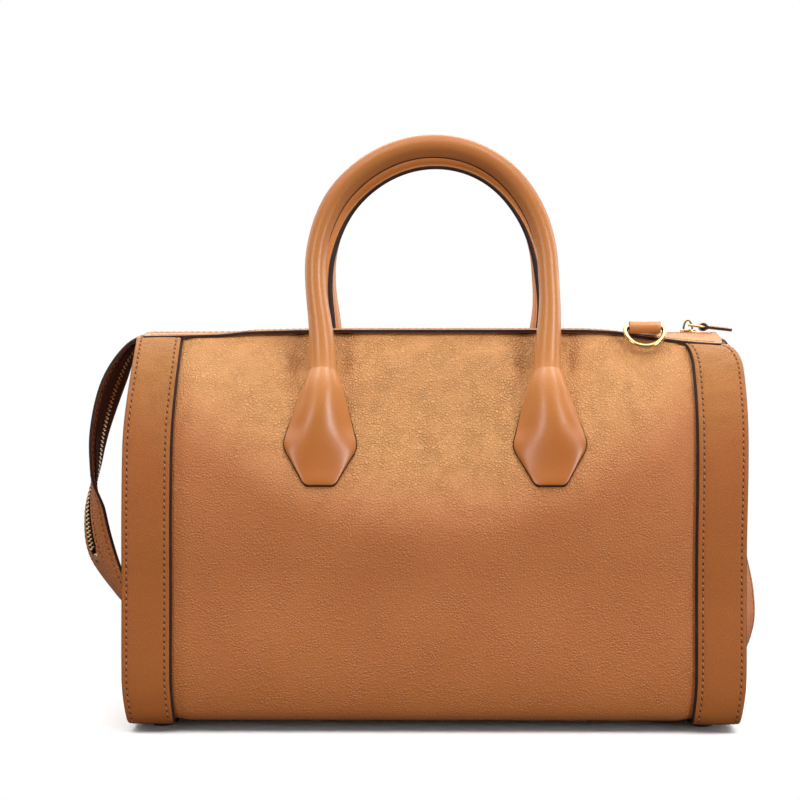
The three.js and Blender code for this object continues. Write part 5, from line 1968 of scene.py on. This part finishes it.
@dataclass
class Handles:
    """Two rolled handles with a painted seam, and the padded tabs that hold them."""

    form: BagForm
    finishes: Finishes
    half_span: float = 67.2
    top: float = 338.6
    radius: float = 5.9
    foot_place: float = 63.7
    neck_radius: float = 8.0
    flare: float = 55.0
    half_depth: float = 52.5
    leather: float = 1.6
    neck_height: float = 199.0
    seam_half: float = 1.35
    seam_rise: float = 2.1
    arch_narrowing: float = 0.026
    arch_shift: float = -1.3
    back_shift: float = 1.8
    tab_length: float = 61.5
    tab_widest_at: float = 39.0
    tab_neck_width: float = 18.2
    tab_overlap: float = 3.2
    tab_arch: float = -0.6
    tab_width: float = 41.6
    tab_toe_width: float = 16.5
    tab_crown: float = 2.8
    tab_edge: float = 1.7
    tab_spread: float = 0.9
    bend_from: float = 4.0
    bend_to: float = 36.0
    arch_fade: Pair = (300.0, 335.0)
    shift_fade: Pair = (230.0, 270.0)
    paint_height: float = 1.15

    @cached_property
    def neck_down(self) -> float:
        """Distance of the tabs' necks below the mouth."""
        return self.form.down_to(1, self.neck_height)

    def seat(self) -> tuple[Array, Array]:
        """The handle's foot as depth and height, and the wall's outward direction there."""
        depth, height, out, up = (float(v) for v in self.form.at(np.array(self.neck_down)))
        lift = self.form.gap + self.neck_radius + float(self.form.slack(self.form.handle_place, height, -1))
        return np.array([depth + out * lift, height + up * lift]), np.array([out, up])

    def line(self, side: Side) -> Array:
        """One handle's centre line from the left seat to the right, as X, depth and height."""
        foot, out = self.seat()
        below = np.array([out[1], -out[0]])
        arch_height = self.top - self.radius - self.half_span
        upright = (foot[0] - self.half_depth) * -below[1] / below[0]
        leg_z = np.linspace(foot[1], arch_height, 40)[:-1]
        share = ease(leg_z, foot[1], arch_height)
        leg_x = self.foot_place + (self.half_span - self.foot_place) * share
        turn = np.linspace(math.pi, 0, 91)
        x = np.concatenate([-leg_x, self.half_span * np.cos(turn), leg_x[::-1]])
        z = np.concatenate([leg_z, arch_height + self.half_span * np.sin(turn), leg_z[::-1]])
        depth = self.half_depth + (foot[0] - self.half_depth) * np.exp((foot[1] - z) / upright)
        x = x * (1 - self.arch_narrowing * ease(z, arch_height - 25, arch_height + 22))
        x = x + self.arch_shift * ease(z, arch_height - 45, arch_height) * (1 - ease(z, *self.arch_fade))
        x = x + self.form.handle_shift * (1 - 0.5 * ease(z, *self.shift_fade))
        if side is Side.BACK:
            x = x + self.back_shift * ease(z, foot[1], foot[1] + 45)
        tuck = foot + below * 4.0 - out * 1.6
        first, last = [x[0], *tuck], [x[-1], *tuck]
        return np.vstack([first, np.stack([x, depth, z], axis=1), last])

    def rings(self, side: Side, turns: Array, rises: Array, inset: float) -> Array:
        """Rings round a handle.

        Args:
            side: Which handle.
            turns: Angles round the handle, from its seam.
            rises: Extra height at each angle.
            inset: Distance inside its surface.

        Returns:
            Stations by angles by 3.
        """
        line = self.line(side) * [1, side.value, 1]
        forward = unit(np.gradient(line, axis=0))
        other = np.array([0, -side.value, 0.0]) - forward * (-side.value * forward[:, 1:2])
        other = unit(other)
        inward = np.cross(forward, other)
        hub = np.array([0, side.value * self.half_depth, self.top - self.radius - self.half_span])
        inward *= np.sign(np.einsum("ij,ij->i", inward, hub - line))[:, None]
        foot = self.seat()[0][1]
        swell = 1 - ease(line[:, 2], foot, foot + self.flare)
        radius = self.radius + (self.neck_radius - self.radius) * swell - inset
        lean = np.radians(14 + 48 * ease(line[:, 2], foot + 30, self.top - 12))
        angle = turns[None, :] + lean[:, None]
        reach = radius[:, None] + rises[None, :]
        return (
            line[:, None, :]
            + (reach * np.cos(angle))[..., None] * other[:, None, :]
            + (reach * np.sin(angle))[..., None] * inward[:, None, :]
        )

    def handle(self, side: Side) -> None:
        """One handle: leather cover with its seam, and the rope inside."""
        half = self.seam_half / self.radius
        seam = np.array([-1.25, -1.0, -0.8, -0.35, 0, 0.35, 0.8, 1.0, 1.25]) * half
        ridge = np.array([0, 0.5, 0.85, 1, 1, 1, 0.85, 0.5, 0]) * self.seam_rise
        rest = np.linspace(1.25 * half, 2 * math.pi - 1.25 * half, 36)[1:-1]
        turns = np.concatenate([seam, rest])
        rises = np.concatenate([ridge, np.zeros(len(rest))])
        outer = self.rings(side, turns, rises, 0)
        inner = self.rings(side, turns, np.zeros(len(turns)), self.leather)
        painted = np.zeros((outer.shape[0] - 1, len(turns)), bool)
        painted[:, 1:7] = True
        foot, _ = self.seat()
        name = f"{side.word}_handle"
        bend = [(0, side.value * foot[0], foot[1] + height) for height in (self.bend_from, self.bend_to)]
        hold = Bend(Body(name), *bend)
        skin = Skin().sheet(outer, inner, wrap=True, painted=painted)
        piece = skin.make(f"{name}_roll", self.finishes.smooth, self.finishes.paint, crease=70)
        attach(piece, Slot.SMOOTH, hold, f"{name}_cover")

        turns = full_turn(24)
        plain = self.rings(side, turns, np.zeros(24), self.leather + 0.6)
        centre = plain.mean(axis=1, keepdims=True)
        run = run_lengths(centre[:, 0])
        lobes = 1 - 0.13 * (1 - np.cos(3 * turns[None, :] + run[:, None] / 5.5))
        flat = gather(turns[None, :] * self.radius, run[:, None])
        rope = Skin().rod(centre + (plain - centre) * lobes[..., None], flat=flat)
        attach(rope.make(f"{name}_rope", self.finishes.rope), Slot.ROPE, hold, f"{name}_core")

    def tab_half_width(self, down: Array) -> Array:
        """Half of a tab's width below its neck, with round hips and toe."""

        def sharp(at: Array) -> Array:
            """The width before its corners are rounded."""
            share = np.clip(at / self.tab_widest_at, 0, 1)
            upper = self.tab_neck_width + (self.tab_width - self.tab_neck_width) * share**0.76
            below = np.clip((at - self.tab_widest_at) / (self.tab_length - self.tab_widest_at), 0, 1)
            lower = self.tab_width + (self.tab_toe_width - self.tab_width) * below
            return np.where(at < self.tab_widest_at, upper, lower)

        spread = np.linspace(-4.5, 4.5, 19)
        soft = np.mean([sharp(np.clip(down + s, 0, self.tab_length)) for s in spread], axis=0)
        near = np.clip((down - self.tab_length + 3.0) / 3.0, 0, 1)
        return soft / 2 - 3.0 * (1 - np.sqrt(1 - near**2))

    def tab(self, side: Side, end: End) -> None:
        """One padded tab, as round as the handle at its neck and flattening below."""
        form = self.form
        sleeve = np.linspace(-self.tab_overlap, 0, 6)[:-1]
        toe_rows = self.tab_length - np.array([3.6, 2.4, 1.4, 0.7, 0.25, 0])
        lower_rows = np.linspace(37, self.tab_length - 5, 20)
        down = np.hstack([sleeve, np.arange(37), lower_rows, toe_rows])[:, None]
        share = np.sin(np.linspace(-math.pi / 2, math.pi / 2, 33))[None, :]
        swell = 1 - ease(down, -self.tab_overlap, 60)
        round_top = self.neck_radius + form.gap + 1.0
        toe = np.sqrt(np.clip(1 - np.clip((down - self.tab_length + 5.5) / 5.5, 0, 1) ** 2, 0, 1))
        edge = self.tab_edge + (self.neck_radius - self.tab_edge) * (1 - ease(down, 0, 30))
        crown = self.tab_crown + (self.neck_radius + round_top - 0.1 - self.tab_crown) * swell
        power = 2 + 0.4 * ease(down, 24, 46)
        full = 0.5 + 0.5 * ease(down, 0, 15) - 0.32 * ease(down, 26, 48)
        rise = edge + (crown - edge) * toe * np.maximum(1 - np.abs(share) ** power, 0) ** full
        half = self.tab_half_width(down)
        spread = self.tab_spread * (0.35 + 0.65 * ease(down, 8, 40))
        x = np.concatenate([-half - 0.3 * spread, half * share, half + 0.3 * spread], axis=1)
        painted = np.minimum(self.paint_height, edge * 0.7)
        rise = form.gap + np.hstack([painted, rise, painted])
        base_x = np.concatenate([-half - spread, half * share, half + spread], axis=1)
        lean = (form.handle_place - self.foot_place) * (1 - ease(down, 0, 34))
        middle = form.handle_shift + end.value * (form.handle_place - lean)
        arch = np.concatenate([[[1.0]], share**2, [[1.0]]], axis=1) * self.tab_arch
        down = down + arch * (1 - ease(down, -self.tab_overlap, 9))
        outer = form.wall(middle + x, self.neck_down + down, rise, side.value)
        toe_out = spread * ease(down, self.tab_length - 1.5, self.tab_length)
        inner = form.wall(middle + base_x, self.neck_down + down + toe_out, form.gap, side.value)
        skin = Skin().sheet(outer, inner)
        name = f"{side.word}_{end.word}_handle_tab"
        piece = skin.make(f"{name}_pad", self.finishes.smooth, self.finishes.paint)
        attach(piece, Slot.SMOOTH, Body.BAG, name)

    def build(self) -> None:
        """Makes both handles and their four tabs."""
        for side in Side:
            self.handle(side)
            for end in End:
                self.tab(side, end)


@dataclass
class Studio:
    """Pale floor, white surroundings, soft lamps and the camera at the photograph's angle."""

    eye: Triple = (3.7, -1280.0, 239.3)
    yaw: float = math.radians(0.5)
    tilt: float = math.radians(2.42)
    lens: float = 96.77
    floor_half: float = 6000.0
    near_grey: float = 0.2
    far_grey: float = 0.12
    paper_grey: float = 0.98
    fill_light: float = 0.05

    def floor(self) -> None:
        """A floor that looks white and keeps the bag's shadow."""
        half = self.floor_half
        ring = np.array([[-half, -half, 0], [half, -half, 0], [half, half, 0], [-half, half, 0]], float)
        skin = Skin().rod(np.array([ring + [0, 0, -20], ring]))
        paint = Paint("studio_floor")
        seen = paint.ray("Is Camera Ray") + paint.ray("Is Transmission Ray")
        x, y, _ = paint.spot()
        away = x.size().rise(0.16, 0.34) + y.size().rise(0.06, 0.22)
        matte = paint.mix(away, paint.matte(self.near_grey), paint.matte(self.far_grey))
        white = paint.mix(away, paint.matte(self.paper_grey), paint.glow())
        skin.make("studio_floor", paint.surface(paint.mix(seen, matte, white)))

    def backdrop(self) -> None:
        """A wall far behind the bag, white where it is seen or mirrored."""
        half, near, far, height = self.floor_half, 2600, 2640, 5000
        ring = np.array([[-half, near, 0], [half, near, 0], [half, far, 0], [-half, far, 0]], float)
        skin = Skin().rod(np.array([ring, ring + [0, 0, height]]))
        paint = Paint("studio_backdrop")
        seen = paint.ray("Is Camera Ray") + paint.ray("Is Glossy Ray") * 0.7
        mixed = paint.mix(seen, paint.matte(self.near_grey), paint.glow())
        skin.make("studio_backdrop", paint.surface(mixed))

    def surroundings(self) -> None:
        """A world that is white where it is seen and gives soft fill light."""
        world = bpy.data.worlds.new("studio")
        world.use_nodes = True
        tree = world.node_tree
        tree.nodes.clear()
        fill, white = (
            add_node(tree, "ShaderNodeBackground", None, {"Color": WHITE, "Strength": strength}).outputs[0]
            for strength in (self.fill_light, 1.0)
        )
        seen = add_node(tree, "ShaderNodeLightPath").outputs["Is Camera Ray"]
        mixed = add_node(tree, "ShaderNodeMixShader", None, {0: seen, 1: fill, 2: white})
        add_node(tree, "ShaderNodeOutputWorld", None, {0: mixed.outputs[0]})
        bpy.context.scene.world = world

    def lamp(self, name: str, place: Triple, aim: Triple, size: Pair, watts: float) -> None:
        """A soft rectangular lamp.

        Args:
            name: The lamp's name.
            place: Where it hangs, in millimetres.
            aim: The point that it faces.
            size: Width and height in metres.
            watts: Its power.
        """
        data = bpy.data.lights.new(name, "AREA")
        data.shape = "RECTANGLE"
        data.size, data.size_y = size
        data.energy = watts
        lamp = add_object(name, data)
        lamp.location = Vector(place) * MM
        lamp.rotation_mode = "QUATERNION"
        lamp.rotation_quaternion = (Vector(aim) * MM - lamp.location).to_track_quat("-Z", "Y")

    def camera(self) -> None:
        """The camera, level with the handles' feet and looking a little down."""
        data = bpy.data.cameras.new("camera")
        data.lens = self.lens
        data.sensor_width = 36
        camera = add_object("camera", data)
        camera.location = Vector(self.eye) * MM
        camera.rotation_euler = (math.pi / 2 - self.tilt, 0, self.yaw)
        bpy.context.scene.camera = camera

    def build(self) -> None:
        """Sets up the whole studio."""
        bpy.context.scene.view_settings.view_transform = "Standard"
        self.camera()
        self.floor()
        self.backdrop()
        self.surroundings()
        aim = (0, 0, 170)
        self.lamp("ceiling", (0, -800, 2150), (0, -700, 0), (5.6, 3.6), 126)
        self.lamp("left_side_fill", (-1700, 500, 700), (0, 0, 120), (1.4, 1.4), 7)
        self.lamp("right_side_fill", (1700, 500, 700), (0, 0, 120), (1.4, 1.4), 13)
        self.lamp("back_fill", (0, 1700, 1700), (0, 0, 150), (2.4, 1.2), 32)
        self.lamp("left_low_strip", (-820, -1260, 300), (0, 0, 300), (0.28, 0.5), 3.4)
        self.lamp("left_high_strip", (-560, -864, 1430), aim, (0.22, 0.8), 3.4)
        self.lamp("right_low_strip", (1000, -1110, 300), (0, 0, 300), (0.3, 0.5), 6.0)
        self.lamp("right_high_strip", (690, -765, 1430), aim, (0.24, 0.8), 5.4)


def main() -> None:
    """Builds the bag and its stage."""
    logging.basicConfig(level=logging.INFO, format="%(name)s: %(message)s")
    Studio().build()
    finishes = Finishes()
    form = BagForm.from_frame()
    sewing = Sewing(finishes)
    Walls(form, finishes).build()
    EndBands(form, finishes, sewing).build()
    Feet(form, finishes).build()
    ZipLine(form, finishes, sewing).build()
    ZipPull(form, finishes, sewing).build()
    RingFitting(form, finishes).build()
    Handles(form, finishes).build()


if __name__ == "__main__":
    main()
